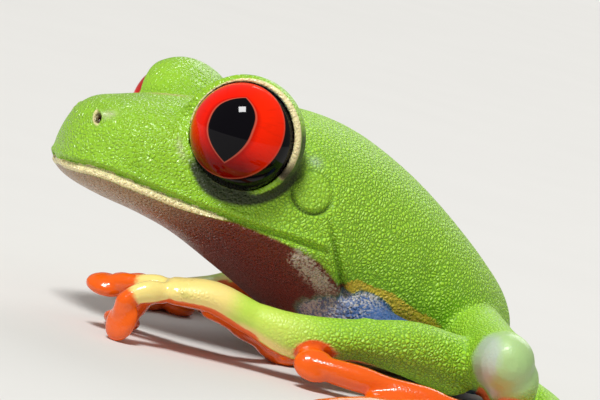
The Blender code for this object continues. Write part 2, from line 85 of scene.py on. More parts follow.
DRUM_LEAN = 0.25                # how far the eardrum's deepest edge is turned from straight down

# Cross-sections of head and trunk, from snout to vent:
# x, centre y, top z, bottom z, half width, z of the widest level, squareness above and below
SECTIONS = (
    (-10.4, 0.0, 11.4, 9.9, 1.0, 10.4, 2.0, 2.0),
    (-10.2, 0.0, 12.3, 9.45, 2.2, 10.1, 2.1, 2.0),
    (-9.6, 0.0, 13.6, 8.85, 3.3, 9.8, 2.2, 2.0),
    (-8.45, 0.0, 14.5, 8.35, 4.5, 9.6, 2.5, 2.0),
    (-6.6, 0.0, 15.0, 7.85, 5.7, 9.35, 2.6, 2.0),
    (-4.0, 0.0, 15.6, 7.3, 6.8, 9.1, 2.5, 2.0),
    (-1.0, 0.0, 16.0, 6.4, 7.7, 8.9, 2.4, 2.0),
    (2.5, 0.0, 16.4, 4.8, 8.4, 8.6, 2.3, 2.1),
    (6.0, 0.1, 16.65, 3.1, 8.7, 8.3, 2.2, 2.2),
    (9.5, 0.5, 16.1, 1.5, 8.4, 7.6, 2.1, 2.2),
    (13.0, 1.3, 14.6, 0.2, 8.7, 6.4, 2.0, 2.3),
    (16.6, 2.8, 12.2, -0.2, 8.9, 5.4, 1.95, 2.3),
    (19.2, 4.2, 10.25, -0.3, 7.8, 4.8, 1.85, 2.3),
    (21.1, 5.7, 8.3, -0.3, 6.05, 4.3, 1.8, 2.3),
    (22.9, 7.1, 6.4, -0.2, 4.75, 3.8, 1.8, 2.2),
    (25.0, 8.5, 4.7, -0.1, 3.9, 3.1, 1.8, 2.1),
    (27.0, 9.6, 3.6, 0.1, 3.1, 2.5, 1.8, 2.0),
    (28.8, 10.5, 3.0, 0.3, 2.6, 1.9, 2.0, 2.0),
    (29.9, 11.1, 2.5, 0.7, 1.6, 1.6, 2.0, 2.0),
)

# Limb segments: points along the middle, then the half width and half thickness at each point
ARMS = {
    "left": {
        "upper_arm": (((9.2, -5.4, 4.8), (12.6, -8.8, 3.6), (16.2, -10.9, 3.1)),
                      ((2.0, 2.0), (1.7, 1.7), (1.9, 1.9))),
        "forearm": (((16.6, -11.5, 3.1), (12.9, -12.1, 3.65), (9.0, -12.3, 3.5), (5.0, -12.2, 2.9),
                     (1.8, -11.4, 3.45)),
                    ((2.0, 2.1), (1.85, 1.9), (1.6, 1.42), (1.5, 1.6), (1.15, 1.12))),
        "hand": (((1.8, -11.4, 3.45), (-0.8, -10.6, 4.15), (-3.2, -9.8, 3.95)),
                 ((1.2, 1.15), (1.6, 1.08), (1.8, 0.95))),
    },
    "right": {
        "upper_arm": (((9.2, 5.8, 4.8), (12.8, 9.8, 3.8), (16.6, 12.4, 3.1)),
                      ((2.0, 2.0), (1.7, 1.7), (2.0, 1.9))),
        "forearm": (((16.8, 12.8, 2.9), (13.4, 13.2, 2.9), (10.0, 12.8, 2.3), (6.7, 12.0, 1.55)),
                    ((2.0, 2.1), (1.8, 1.8), (1.5, 1.4), (1.15, 1.0))),
        "hand": (((6.7, 12.0, 1.55), (4.8, 11.2, 1.25), (3.0, 10.4, 1.0)),
                 ((1.15, 1.0), (1.55, 0.85), (1.75, 0.75))),
    },
}
LEGS = {
    "left": {
        "thigh": (((22.0, 4.0, 3.6), (20.4, -4.5, 3.6), (19.2, -11.3, 4.0), (18.0, -16.9, 4.75)),
                  ((2.8, 3.0), (2.7, 3.1), (2.3, 2.5), (1.9, 2.0))),
        "shank": (((18.9, -16.6, 3.6), (21.3, -10.6, 2.1), (24.6, -2.8, 1.6)),
                  ((1.75, 1.9), (1.9, 1.75), (1.3, 1.3))),
        "tarsus": (((24.6, -2.8, 1.45), (24.9, -10.5, 1.1), (20.4, -17.6, 1.1)),
                   ((1.3, 1.2), (1.1, 1.0), (1.3, 1.0))),
        "foot": (((20.4, -17.6, 1.1), (18.3, -18.4, 1.0), (15.8, -18.6, 0.9)),
                 ((1.4, 1.0), (1.9, 0.85), (2.3, 0.75))),
    },
    "right": {
        "thigh": (((21.8, 10.0, 3.8), (20.2, 17.0, 4.0), (15.6, 23.6, 4.8)),
                  ((2.8, 2.8), (2.6, 2.4), (1.75, 1.85))),
        "shank": (((15.6, 24.0, 4.4), (22.2, 19.4, 2.3), (28.4, 13.4, 1.6)),
                  ((1.75, 1.9), (1.9, 1.75), (1.3, 1.3))),
        "tarsus": (((28.4, 13.4, 1.45), (30.2, 18.4, 1.1), (29.2, 23.0, 1.1)),
                   ((1.3, 1.2), (1.1, 1.0), (1.3, 1.0))),
        "foot": (((29.2, 23.0, 1.1), (27.4, 24.2, 1.0), (25.0, 24.6, 0.9)),
                 ((1.4, 1.0), (1.9, 0.85), (2.3, 0.75))),
    },
}

# Digits, innermost first: points from the palm's middle to the disc's centre
FINGERS = {
    "left": (
        ((-0.4, -9.6, 3.3), (3.4, -7.8, 1.9), (6.6, -5.8, 0.5)),
        ((-1.8, -8.9, 3.7), (-3.6, -6.6, 3.0), (-4.5, -4.2, 0.5)),
        ((-2.0, -9.4, 3.95), (-4.7, -8.2, 3.75), (-6.85, -6.4, 2.95)),
        ((-2.2, -10.2, 3.8), (-4.8, -10.4, 3.7), (-6.4, -10.4, 2.9), (-6.5, -10.3, 1.35)),
    ),
    "right": (
        ((4.6, 10.4, 1.05), (4.1, 8.8, 0.85), (3.1, 7.3, 0.5)),
        ((3.8, 10.1, 1.05), (2.2, 8.4, 0.9), (0.6, 7.0, 0.5)),
        ((3.6, 10.5, 1.05), (1.9, 10.4, 0.9), (0.2, 10.2, 0.5)),
        ((3.8, 11.0, 1.05), (2.8, 12.7, 0.9), (1.4, 14.4, 0.5)),
    ),
}
TOES = {
    "left": (
        ((17.4, -17.9, 0.9), (15.2, -16.9, 0.8), (13.0, -16.4, 0.5)),
        ((17.0, -18.2, 0.9), (13.4, -17.6, 0.8), (10.2, -17.2, 0.5)),
        ((16.8, -18.5, 0.9), (11.8, -16.8, 1.35), (5.8, -14.6, 1.65)),
        ((16.8, -18.8, 0.9), (10.6, -20.6, 0.8), (3.8, -24.2, 0.5)),
        ((17.2, -19.1, 0.9), (13.0, -22.4, 0.8), (9.2, -26.2, 0.5)),
    ),
    "right": (
        ((26.4, 23.8, 0.9), (24.6, 22.9, 0.8), (22.6, 22.6, 0.5)),
        ((26.0, 24.1, 0.9), (23.0, 23.8, 0.8), (20.0, 24.0, 0.5)),
        ((25.8, 24.6, 0.9), (21.6, 25.6, 0.8), (17.2, 26.6, 0.5)),
        ((26.0, 25.1, 0.9), (21.6, 28.0, 0.8), (17.0, 31.0, 0.5)),
        ((26.4, 25.4, 0.9), (23.8, 29.0, 0.8), (21.4, 32.6, 0.5)),
    ),
}
FINGER_RADIUS = 0.72
TOE_RADIUS = 0.85
DISC_SIZE = (1.45, 1.2, 0.65)   # half length, half width and half thickness
KNUCKLE_SWELL = 0.10
KNUCKLE_SPACING = 3.2           # in eighths of the digit
UP = Vector((0.0, 0.0, 1.0))
# Which way a disc faces where it doesn't lie flat, by kind of digit, side and place in the row
DISC_FACING = {
    ("finger", "left", 2): Vector((-0.2, -0.3, 0.9)),
    ("finger", "left", 3): Vector((-0.85, -0.5, 0.25)),
    ("toe", "left", 2): Vector((-0.3, -0.8, 0.55)),
}
WEB_THICKNESS = 0.7
WEB_REACH = 4                   # how far along the digits it grows, in eighths
WEB_HOLLOW = 0.35

# Lines drawn on the side view of the body, as x and z
MOUTH = ((-10.3, 9.82), (-8.6, 9.98), (-6.15, 9.63), (-3.5, 9.2), (0.0, 8.76), (3.2, 8.4), (6.9, 8.1))
NECK_FOLD = ((6.4, 10.6), (6.78, 9.93), (7.39, 8.66), (7.95, 7.6), (8.62, 6.5), (9.25, 5.6))
FLANK_FOLD = ((15.0, 10.2), (15.3, 8.6), (15.6, 7.4), (15.9, 6.0))
GREEN_EDGE = ((0.0, 8.7), (1.3, 8.5), (3.4, 8.1), (5.0, 7.7), (6.7, 7.3), (7.6, 6.7), (8.4, 6.2), (9.6, 6.65),
              (12.5, 6.3), (14.2, 5.7), (16.1, 5.05), (20.0, 3.8), (24.0, 2.5), (30.0, 1.4))
FLECKED_LINE = ((5.0, 7.2), (6.8, 6.3), (8.8, 5.2))
CROWN_CREASE = ((-4.6, 2.4), (-4.2, 0.6), (-3.2, -0.2), (-2.2, 0.0))     # seen from above, as x and y
PALE_SPOT = (5.15, 6.8, 13.65)
PALE_SPOT_SIZE = (0.55, 1.0, 0.42)
SIDE_START = 5.0                # what lies farther out than this takes the lines of the side view
NOSTRIL = (-9.12, 2.75, 13.2)
NOSTRIL_SIZE = (0.23, 0.46)     # half width and half height

# Places farther than the margin from a limb count as far from it; batches keep the memory small
LIMB_MARGIN = 5.0
FAR = 9.0
LIMB_BATCH = 20000

# How the fine mesh is smoothed and thinned
RELAX_ROUNDS = (3, 1)           # before and after the creases are filled
CREASE_ROUNDS = 8
HEAD_THINNING = 0.35            # how readily the head loses edges, with 1 for the rest

# What the painter makes and the skin's material reads
MASKS = ("cream", "shaded_throat", "chin", "orange", "wrist", "blue", "ochre", "fleck", "knee", "lilac_and_painted_reflection", "pink",
         "painted_highlight", "nostril", "painted_shade", "smooth", "wet", "belly")
# Masks of each limb segment, with the ranges over which they come in: how far the skin faces up and outward,
# and how far along the segment the place is
SEGMENT_PAINT = {
    "upper_arm": (("blue", None, (0.98, 0.8)), ("fleck", None, (0.5, 0.1))),
    "forearm": (("orange", (0.0, -0.35), (0.2, 0.6)), ("smooth", None, (0.45, 1.0))),
    "hand": (("orange", (0.25, -0.1), None), ("smooth", None, None)),
    "thigh": (("blue", (-0.2, -0.6), (0.85, 0.6)),),
    "shank": (("orange", (-0.1, -0.5), (0.0, 0.2)),),
    "tarsus": (("orange", (0.3, -0.2), None),),
    "foot": (("orange", None, None), ("smooth", None, None)),
}
FOREARM_YELLOW = 0.38           # share of the hands' yellow on the forearm

# Noise of the skin, in cycles per metre, and the granules
BROAD_NOISE, FINE_NOISE, BEND_NOISE = 260.0, 5200.0, 900.0
BEND = 0.22 * MM                # how far noise bends the rows of granules
GRANULE_RISE = 0.14 * MM
# Painted shade: what each colour keeps where the painted shade is fullest, in grooves, folds, round the
# eardrums and under the eyes
SHADE = (0.035, 0.03, 0.012)    # what the darkest folds keep of each colour

# Stage: where the camera looks from the near eye, and the lights by their way back, up and right from it,
# their distance and their width in metres
CAMERA_TARGET = (0.0, -6.55, 14.6)
CAMERA_ASIDE = (3.6, -4.2)      # right and up
FLOOR_REACH = 3.0               # metres
LIGHTS = {
    "key": ((0.517, 0.855, -0.047), 2.5, 0.56),
    "rear": ((-0.777, 0.512, 0.366), 1.5, 0.8),
    "fill": ((0.8, 0.25, -0.75), 0.6, 0.4),
}


def number_property(name, description, value, **kind):
    return FloatProperty(name=name, description=description, default=value, **kind)


def length_property(name, description, millimetres):
    return number_property(name, description, millimetres * MM, unit="LENGTH", precision=5)


def angle_property(name, description, degrees):
    return number_property(name, description, math.radians(degrees), subtype="ANGLE")


def colour(name, description, value):
    return FloatVectorProperty(name=name, description=description, default=value, size=3, min=0.0, max=1.0,
                               subtype="COLOR")


class FrogSizes(bpy.types.PropertyGroup):
    skin_detail: length_property("Skin detail", "Edge length of the fine skin mesh", 0.15)
    skin_triangles: IntProperty(name="Skin triangles", description="Triangles of the finished skin",
                                default=188000)
    coat_depth: length_property("Skin inset", "How far the skin lies inside the solids", 0.02)
    mouth_depth: length_property("Mouth line depth", "Depth of the groove between the lips", 0.38)
    fold_depth: length_property("Fold depth", "Depth of the fold behind the jaw", 0.4)
    rim_thickness: length_property("Lid rim", "Radius of the lid's rim at its thickest", 0.26)
    granule: length_property("Granule size", "Width of one skin granule", 0.27)
    iris_angle: angle_property("Iris edge", "Angle from the eye's axis to the iris's edge", 65.5)
    gaze_forward: angle_property("Gaze forward", "How far the eye's axis turns forward of sideways", 40.0)
    gaze_up: angle_property("Gaze up", "How far the eye's axis is raised", 13.1)
    pupil_width: angle_property("Pupil width", "Half width of the pupil, seen from the eye's centre", 24.4)
    pupil_height: angle_property("Pupil height", "Half height of the pupil, as an angle", 38.0)
    pupil_drop: angle_property("Pupil drop", "How far the pupil's middle lies below the iris's", 4.5)
    pupil_back: angle_property("Pupil set back", "How far the pupil's middle lies behind the iris's", 2.8)
    pupil_bend: number_property("Pupil bend", "How much the pupil's ends lean to the rear", 0.1375)


class FrogColours(bpy.types.PropertyGroup):
    back: colour("Back", "Lime green of the back", (0.42, 0.78, 0.03))
    # Olive green of the granule gaps, a painted shade; it also gives broad patches of deeper tone and the
    # moist head's painted shade
    back_deep_and_shade: colour("Granule gaps", "Olive green between the granules", (0.14, 0.33, 0.01))
    # The granules' paler tops are a painted highlight
    back_highlight: colour("Granule tops", "Pale green of the granules' tops", (0.52, 0.88, 0.045))
    cream: colour("Cream", "Lip, lid rim and belly", (0.92, 0.80, 0.42))
    # The deep orange brown under the jaw is painted shade
    shaded_throat: colour("Throat", "Orange brown of the throat", (0.17, 0.016, 0.001))
    orange: colour("Orange", "Fingers, toes and feet", (0.86, 0.115, 0.0))
    wrist: colour("Wrist yellow", "Upper side of the hands", (0.95, 0.76, 0.24))
    blue: colour("Flank blue", "Upper arms and flanks", (0.03, 0.10, 0.30))
    ochre: colour("Ochre", "Edge between flank and back", (0.85, 0.62, 0.05))
    # This colour also makes the painted highlights beside the lids and behind the nostrils
    fleck: colour("Fleck", "Whitish granules on blue skin", (0.80, 0.72, 0.58))
    crease: colour("Crown crease", "Pinkish crease between the eyes", (0.62, 0.36, 0.18))
    # The blackish brown inside the nostrils is painted shade
    nostril: colour("Nostril", "Brown inside of the nostrils", (0.06, 0.018, 0.006))
    knee: colour("Knee", "Pale skin stretched over the knee", (0.42, 0.60, 0.28))
    # This colour also makes the painted reflection on the lids' rims, above and behind
    lilac_and_painted_reflection: colour("Lilac", "Bluish edge of the knee", (0.52, 0.53, 0.64))
    iris: colour("Iris", "Orange red of the iris", (0.84, 0.008, 0.0))
    iris_bright: colour("Bright iris", "Orange of the iris's rear part", (1.0, 0.022, 0.0))
    # Painted refraction: the olive brown where the cornea's edge bends the view of the iris's front edge
    iris_front_refraction: colour("Front of the iris", "Olive brown at the iris's front edge", (0.28, 0.10, 0.02))
    iris_low: colour("Lower iris", "Crimson of the iris's lower part", (0.15, 0.0, 0.0))
    iris_line: colour("Iris line", "Greyish pink line round the pupil", (0.55, 0.12, 0.07))
    black: colour("Eye black", "Pupil and the ring outside the iris", (0.002, 0.0015, 0.003))


class FrogStage(bpy.types.PropertyGroup):
    floor: colour("Floor", "Pale floor", (0.72, 0.71, 0.68))
    sky: colour("Surroundings", "Soft light from all round", (1.0, 0.99, 0.96))
    sky_strength: number_property("Surroundings strength", "Strength of the light from all round", 0.27)
    key_power: number_property("Key light", "Power of the main light", 58.0, unit="POWER")
    rim_power: number_property("Rear light", "Power of the light behind", 6.0, unit="POWER")
    fill_power: number_property("Fill light", "Power of the side light", 0.3, unit="POWER")
    camera_turn: angle_property("Camera turn", "How far the camera stands forward of the left side", 20.0)
    camera_rise: angle_property("Camera rise", "Angle of the camera above the floor", 6.0)
    camera_roll: angle_property("Camera roll", "Tilt of the camera about its own axis", 14.5)
    camera_distance: length_property("Camera distance", "From the near eye to the camera", 300.0)
    lens: number_property("Lens", "Focal length", 270.0, unit="CAMERA")


# ---------------------------------------------------------------- forms

def curve_through(points, count):
    """Points of a Catmull-Rom curve through rows of numbers, evenly spread between the first and last."""
    rows = np.array(points, float)
    if len(rows) == 2:
        share = np.linspace(0, 1, count)[:, None]
        return rows[0] * (1 - share) + rows[1] * share
    padded = np.vstack([2 * rows[0] - rows[1], rows, 2 * rows[-1] - rows[-2]])
    made = []
    for place in np.linspace(0, len(rows) - 1, count):
        i = min(int(place), len(rows) - 2)
        t = place - i
        a, b, c, d = padded[i:i + 4]
        made.append(0.5 * (2 * b + (c - a) * t + (2 * a - 5 * b + 4 * c - d) * t ** 2
                           + (3 * b - a - 3 * c + d) * t ** 3))
    return np.array(made)


def step(value, low, high):
    """Rises smoothly from 0 at low to 1 at high; low may be the larger number."""
    t = np.clip((value - low) / (high - low), 0.0, 1.0)
    return t * t * (3 - 2 * t)


def bump(value, width):
    """A smooth hill: 1 at 0, and nearly 0 from twice the width on."""
    return np.exp(-(value / width) ** 2)


def rolled(point, side=1.0):
    """A point of the head after the head's roll about its long axis."""
    turn = math.radians(HEAD_ROLL)
    x, y, z = point[0], point[1] * side, point[2] - ROLL_HEIGHT
    across, up = y * math.cos(turn) - z * math.sin(turn), y * math.sin(turn) + z * math.cos(turn)
    return Vector((x, across, up + ROLL_HEIGHT))


def new_object(name, bm):
    mesh = bpy.data.meshes.new(name)
    bm.to_mesh(mesh)
    bm.free()
    made = bpy.data.objects.new(name, mesh)
    bpy.context.scene.collection.objects.link(made)
    return made


def loft(name, rings):
    """A closed solid through rings of points, all of one count."""
    bm = bmesh.new()
    bmesh.ops.create_circle(bm, cap_ends=False, radius=1.0, segments=len(rings[0]))
    ring = list(bm.verts)
    first = ring
    for k, places in enumerate(rings):
        if k:
            edges = [bm.edges.get((ring[i], ring[i - 1])) for i in range(len(ring))]
            extruded = bmesh.ops.extrude_edge_only(bm, edges=edges)["geom"]
            fresh = {v for v in extruded if isinstance(v, bmesh.types.BMVert)}
            ring = [next(e.other_vert(v) for e in v.link_edges if e.other_vert(v) in fresh) for v in ring]
        for vertex, place in zip(ring, places):
            vertex.co = place
    for end in (first, ring):
        bmesh.ops.contextual_create(bm, geom=end)
    bmesh.ops.recalc_face_normals(bm, faces=bm.faces[:])
    return new_object(name, bm)


def section_rows(count=120):
    """The body's cross-sections at even steps, with the head's roll as a last column."""
    rows = curve_through(SECTIONS, count)
    fade = step(rows[:, 0], *ROLL_FADE)
    return np.column_stack([rows, math.radians(HEAD_ROLL) * fade])


def body(sides=96):
    """Head and trunk in one loft, each cross-section square to the body's course."""
    rows = section_rows()
    yaws = np.arctan(np.gradient(rows[:, 1], rows[:, 0]))
    rings = []
    for (x, y, top, bottom, half_width, wide, above, below, roll), yaw in zip(rows, yaws):
        across = Vector((-math.sin(yaw), math.cos(yaw), 0.0))
        turn = (Matrix.Translation((0, y, ROLL_HEIGHT)) @ Matrix.Rotation(roll, 4, "X")
                @ Matrix.Translation((0, -y, -ROLL_HEIGHT)))
        ring = []
        for k in range(sides):
            angle = 2 * math.pi * k / sides
            c, s = math.cos(angle), math.sin(angle)
            power = above if s > 0 else below
            reach = (abs(c) ** power + abs(s) ** power) ** (-1 / power)
            height = (top - wide) if s > 0 else (wide - bottom)
            place = Vector((x, y, wide + height * reach * s)) + across * (half_width * reach * c)
            ring.append(turn @ place)
        rings.append(ring)
    return loft("body", rings)


def tube(name, points, radii, rings=22, sides=24):
    """A limb or digit: an elliptical tube with round ends."""
    middle = curve_through(points, rings)
    size = curve_through(radii, rings)
    along = np.gradient(middle, axis=0)
    ends = [(0, -math.cos(t), math.sin(t)) for t in np.linspace(0.25, 1.3, 4)]     # t runs from tip to side
    steps = ends + [(k, 0.0, 1.0) for k in range(rings)] + [(rings - 1, -e[1], e[2]) for e in reversed(ends)]
    made = []
    for k, push, scale in steps:
        forward = Vector(along[k]).normalized()
        side = forward.cross(UP)
        side = side.normalized() if side.length > 1e-3 else Vector((0, 1, 0))
        up = side.cross(forward)
        wide, thick = size[k]
        centre = Vector(middle[k]) + forward * (push * min(wide, thick))
        made.append([centre + side * (wide * scale * math.cos(a)) + up * (thick * scale * math.sin(a))
                     for a in (2 * math.pi * i / sides for i in range(sides))])
    return loft(name, made)


def ellipsoid(name, centre, radii, axes):
    """An ellipsoid; axes are the directions of its three radii."""
    bm = bmesh.new()
    bmesh.ops.create_uvsphere(bm, u_segments=36, v_segments=24, radius=1.0)
    turn = Matrix(axes).transposed().to_4x4()
    matrix = Matrix.Translation(centre) @ turn @ Matrix.Diagonal((*radii, 1.0))
    bmesh.ops.transform(bm, matrix=matrix, verts=bm.verts)
    return new_object(name, bm)


def facing(forward, up, side):
    """A direction on the head, turned forward of sideways and raised, after the head's roll."""
    out = Vector((-math.sin(forward) * math.cos(up), math.cos(forward) * math.cos(up) * side, math.sin(up)))
    return Matrix.Rotation(math.radians(HEAD_ROLL), 3, "X") @ out


def lid_axis(side):
    return facing(math.radians(LID_FORWARD), math.radians(LID_UP[side]), side)


def eye_centre(side):
    return rolled((-EYE_AHEAD[side], EYE_SPREAD, EYE_HEIGHT), side)


def cut_flat(bm, place, away):
    """Cuts a closed form off by a plane and closes it; what lies on the away side goes."""
    everything = bm.verts[:] + bm.edges[:] + bm.faces[:]
    cut = bmesh.ops.bisect_plane(bm, geom=everything, plane_co=place, plane_no=away, clear_outer=True)
    bmesh.ops.holes_fill(bm, edges=[e for e in cut["geom_cut"] if isinstance(e, bmesh.types.BMEdge)])
    bmesh.ops.recalc_face_normals(bm, faces=bm.faces[:])


def across_axis(out, side):
    """The directions up and to the rear, square to an eye's axis."""
    up = (UP - out * UP.dot(out)).normalized()
    return up, up.cross(out) * -side


def eye_bulge(side):
    """The lids and the dome of skin behind them, cut flat at the eye's opening."""
    out = lid_axis(side)
    centre = eye_centre(side)
    bm = bmesh.new()
    bmesh.ops.create_uvsphere(bm, u_segments=80, v_segments=48, radius=1.0)
    inward = Vector((DOME_INWARD[0], DOME_INWARD[1] * side, DOME_INWARD[2])).normalized()
    for vertex in bm.verts:
        dome = step(vertex.co.dot(out), 0.0, -0.65)
        vertex.co = centre + vertex.co * (LID_RADIUS[side] * (1 - dome) + DOME_RADIUS[side] * dome)
        depth = max(0.0, (vertex.co - centre).dot(inward))
        vertex.co += inward * depth * DOME_STRETCH
    cut_flat(bm, centre + out * LID_DEPTH[side], out)
    return new_object("eye_bulge", bm)


def lid_frame(side):
    """The eye opening's axis, the direction up along its plane and the direction to the rear."""
    out = lid_axis(side)
    return (out, *across_axis(out, side))


def rim_radius(angle, thickest):
    """Radius of the lid's rim by its angle from the rear, upward."""
    least, added = RIM_SHARES
    return thickest * (least + added * step(np.cos(angle - RIM_PEAK), -0.5, 0.9))


def rim_place(side, angle, thickest):
    """Distance from the opening's axis, and height along it, of the middle of the lid's rim."""
    radius = rim_radius(angle, thickest)
    height = LID_DEPTH[side] + 0.1
    return np.sqrt((EYE_RADIUS + 0.8 * radius) ** 2 - height ** 2), height, radius


def lid_rim(side, thickest):
    """The raised edge of the lids, a ring that hugs the eyeball."""
    out, up, rear = lid_frame(side)
    centre = eye_centre(side)
    bm = bmesh.new()
    bmesh.ops.create_circle(bm, cap_ends=False, radius=1.0, segments=12,
                            matrix=Matrix.Translation((3, 0, 0)) @ Matrix.Rotation(math.pi / 2, 4, "X"))
    bmesh.ops.spin(bm, geom=bm.verts[:] + bm.edges[:], cent=(0, 0, 0), axis=(0, 0, 1), angle=2 * math.pi,
                   steps=96, use_merge=True)
    for vertex in bm.verts:
        angle = math.atan2(vertex.co.y, vertex.co.x)
        away, raised = math.hypot(vertex.co.x, vertex.co.y) - 3.0, vertex.co.z
        across, height, radius = rim_place(side, angle, thickest)
        spoke = rear * math.cos(angle) + up * math.sin(angle)
        vertex.co = centre + spoke * (across + away * radius) + out * (height + raised * radius)
    bmesh.ops.recalc_face_normals(bm, faces=bm.faces[:])
    return new_object("lid_rim", bm)


def eighths(points):
    """Nine places along a digit."""
    return [Vector(place) for place in curve_through(points, 9)]


def digit(kind, word, place, points, radius):
    """A whole finger or toe: a tube with soft knuckles, and the round pad at its tip."""
    course = eighths(points)
    wide = [radius * (1.0 + KNUCKLE_SWELL * math.cos(2 * math.pi * k / KNUCKLE_SPACING)) for k in range(9)]
    shells = [tube(kind, course, [(w, w) for w in wide], rings=24)]
    normal = DISC_FACING.get((kind, word, place), UP).normalized()
    forward = course[-1] - course[-2]
    forward = (forward - normal * forward.dot(normal)).normalized()
    side = normal.cross(forward)
    shells.append(ellipsoid(kind, course[-1], DISC_SIZE, (forward, side, normal)))
    return shells


def web(first, second):
    """A sheet of skin between two digits, with a hollow free edge."""
    a, b = eighths(first)[:WEB_REACH + 1], eighths(second)[:WEB_REACH + 1]
    bm = bmesh.new()
    bmesh.ops.create_grid(bm, x_segments=4, y_segments=WEB_REACH, size=0.5)
    for vertex in bm.verts:
        share = vertex.co.x + 0.5
        k = round((vertex.co.y + 0.5) * WEB_REACH)
        hollow = WEB_HOLLOW * 4 * share * (1 - share) if k == WEB_REACH else 0.0
        vertex.co = a[k].lerp(b[k], share).lerp(a[0].lerp(b[0], share), hollow)
    bmesh.ops.recalc_face_normals(bm, faces=bm.faces[:])
    sheet = new_object("web", bm)
    thick = sheet.modifiers.new("Thickness", "SOLIDIFY")
    thick.thickness = WEB_THICKNESS
    thick.offset = 0.0
    return sheet


def limb_shells():
    shells = []
    for _, word in SIDES:
        for segments, digits, kind, radius in ((ARMS[word], FINGERS[word], "finger", FINGER_RADIUS),
                                               (LEGS[word], TOES[word], "toe", TOE_RADIUS)):
            shells += [tube(name, *segment) for name, segment in segments.items()]
            for place, points in enumerate(digits):
                shells += digit(kind, word, place, points, radius)
            shells += [web(first, second) for first, second in zip(digits, digits[1:])]
    return shells


# ---------------------------------------------------------------- mesh work

def apply_modifiers(made):
    graph = bpy.context.evaluated_depsgraph_get()
    mesh = bpy.data.meshes.new_from_object(made.evaluated_get(graph))
    made.modifiers.clear()
    made.data = mesh


def joined(name, objects):
    """One object that holds all the shells, still overlapping."""
    bm = bmesh.new()
    for part in objects:
        if part.modifiers:
            apply_modifiers(part)
        bm.from_mesh(part.data)
        bpy.data.objects.remove(part)
    return new_object(name, bm)


def vertex_rows(mesh, what="co"):
    """The places of all vertices, or their normals, as rows of three numbers."""
    flat = np.empty(len(mesh.vertices) * 3)
    mesh.vertices.foreach_get(what, flat)
    return flat.reshape(-1, 3)


def place_all(mesh, places):
    mesh.vertices.foreach_set("co", places.ravel())
    mesh.update()


def neighbour_means(mesh):
    """A function that gives the mean place of each vertex's neighbours."""
    count = len(mesh.vertices)
    edges = np.empty(len(mesh.edges) * 2, int)
    mesh.edges.foreach_get("vertices", edges)
    a, b = edges.reshape(-1, 2).T
    links = np.bincount(a, minlength=count) + np.bincount(b, minlength=count)

    def means(places):
        sums = [np.bincount(a, places[b, k], count) + np.bincount(b, places[a, k], count) for k in range(3)]
        return np.stack(sums, axis=1) / links[:, None]
    return means


def relax(mesh, rounds):
    """Smooths the surface without shrinking it, by steps in and out."""
    means = neighbour_means(mesh)
    places = vertex_rows(mesh)
    for _ in range(rounds):
        for share in (0.6, -0.62):
            places += share * (means(places) - places)
    place_all(mesh, places)


def fill_creases(mesh, rounds):
    """Fills the sharp hollows where shells meet, and leaves what bulges outward."""
    means = neighbour_means(mesh)
    places = vertex_rows(mesh)
    for _ in range(rounds):
        pull = means(places) - places
        normals = vertex_rows(mesh, "normal")
        outward = (pull * normals).sum(1)
        places += normals * np.clip(outward, 0.0, None)[:, None] * 0.9
        place_all(mesh, places)


# ---------------------------------------------------------------- measures on the surface

def unrolled(places):
    """Places of the head before its roll, for measures that the head's two sides share."""
    rows = section_rows()
    roll = -np.interp(places[:, 0], rows[:, 0], rows[:, -1])
    y, z = places[:, 1], places[:, 2] - ROLL_HEIGHT
    across, up = y * np.cos(roll) - z * np.sin(roll), y * np.sin(roll) + z * np.cos(roll)
    return np.stack([places[:, 0], across, up + ROLL_HEIGHT], axis=1)


def body_width(x, z):
    """Half the body's width at a place on its side view."""
    rows = section_rows()
    top, bottom, half_width, wide, above, below = (np.interp(x, rows[:, 0], rows[:, k]) for k in range(2, 8))
    rise = np.where(z > wide, (z - wide) / (top - wide), (wide - z) / (wide - bottom))
    power = np.where(z > wide, above, below)
    return half_width * (1 - np.clip(rise, 0, 1) ** power) ** (1 / power)


def distance_to(points, course):
    """Distance of each point from a line of close places, and how far along the nearest one is, 0 to 1."""
    tree = KDTree(len(course))
    for k, place in enumerate(course):
        tree.insert(place, k)
    tree.balance()
    found = [tree.find(p)[1:] for p in points]
    index, distance = np.array(found).T
    return distance, index / (len(course) - 1)


def side_line(line, count=120):
    """A line of the side view, laid on the body's left and right side before the head's roll."""
    rows = curve_through(line, count)
    width = body_width(rows[:, 0], rows[:, 1])
    return [np.stack([rows[:, 0], width * side, rows[:, 1]], axis=1) for side in (-1, 1)]


def mouth_line():
    """The line between the lips, from one corner round the snout to the other."""
    left, right = side_line(MOUTH, 160)
    x, y, z = left[0]
    front = np.array([(x - 0.35 * math.sin(math.pi * t), y + (right[0][1] - y) * t, z)
                      for t in np.linspace(0, 1, 24)])
    return np.vstack([left[::-1], front, right])


def mouth_height(x):
    """Height of the line between the lips, on the side view."""
    line = curve_through(MOUTH, 60)
    return np.interp(x, line[:, 0], line[:, 1])


def side_distance(places, line):
    """Distance on the side view from a line, and how far along it, on either side of the body."""
    rows = curve_through(line, 60)
    flat = np.stack([rows[:, 0], np.zeros(len(rows)), rows[:, 1]], axis=1)
    level = places.copy()
    level[:, 1] = 0.0
    return distance_to(level, flat)


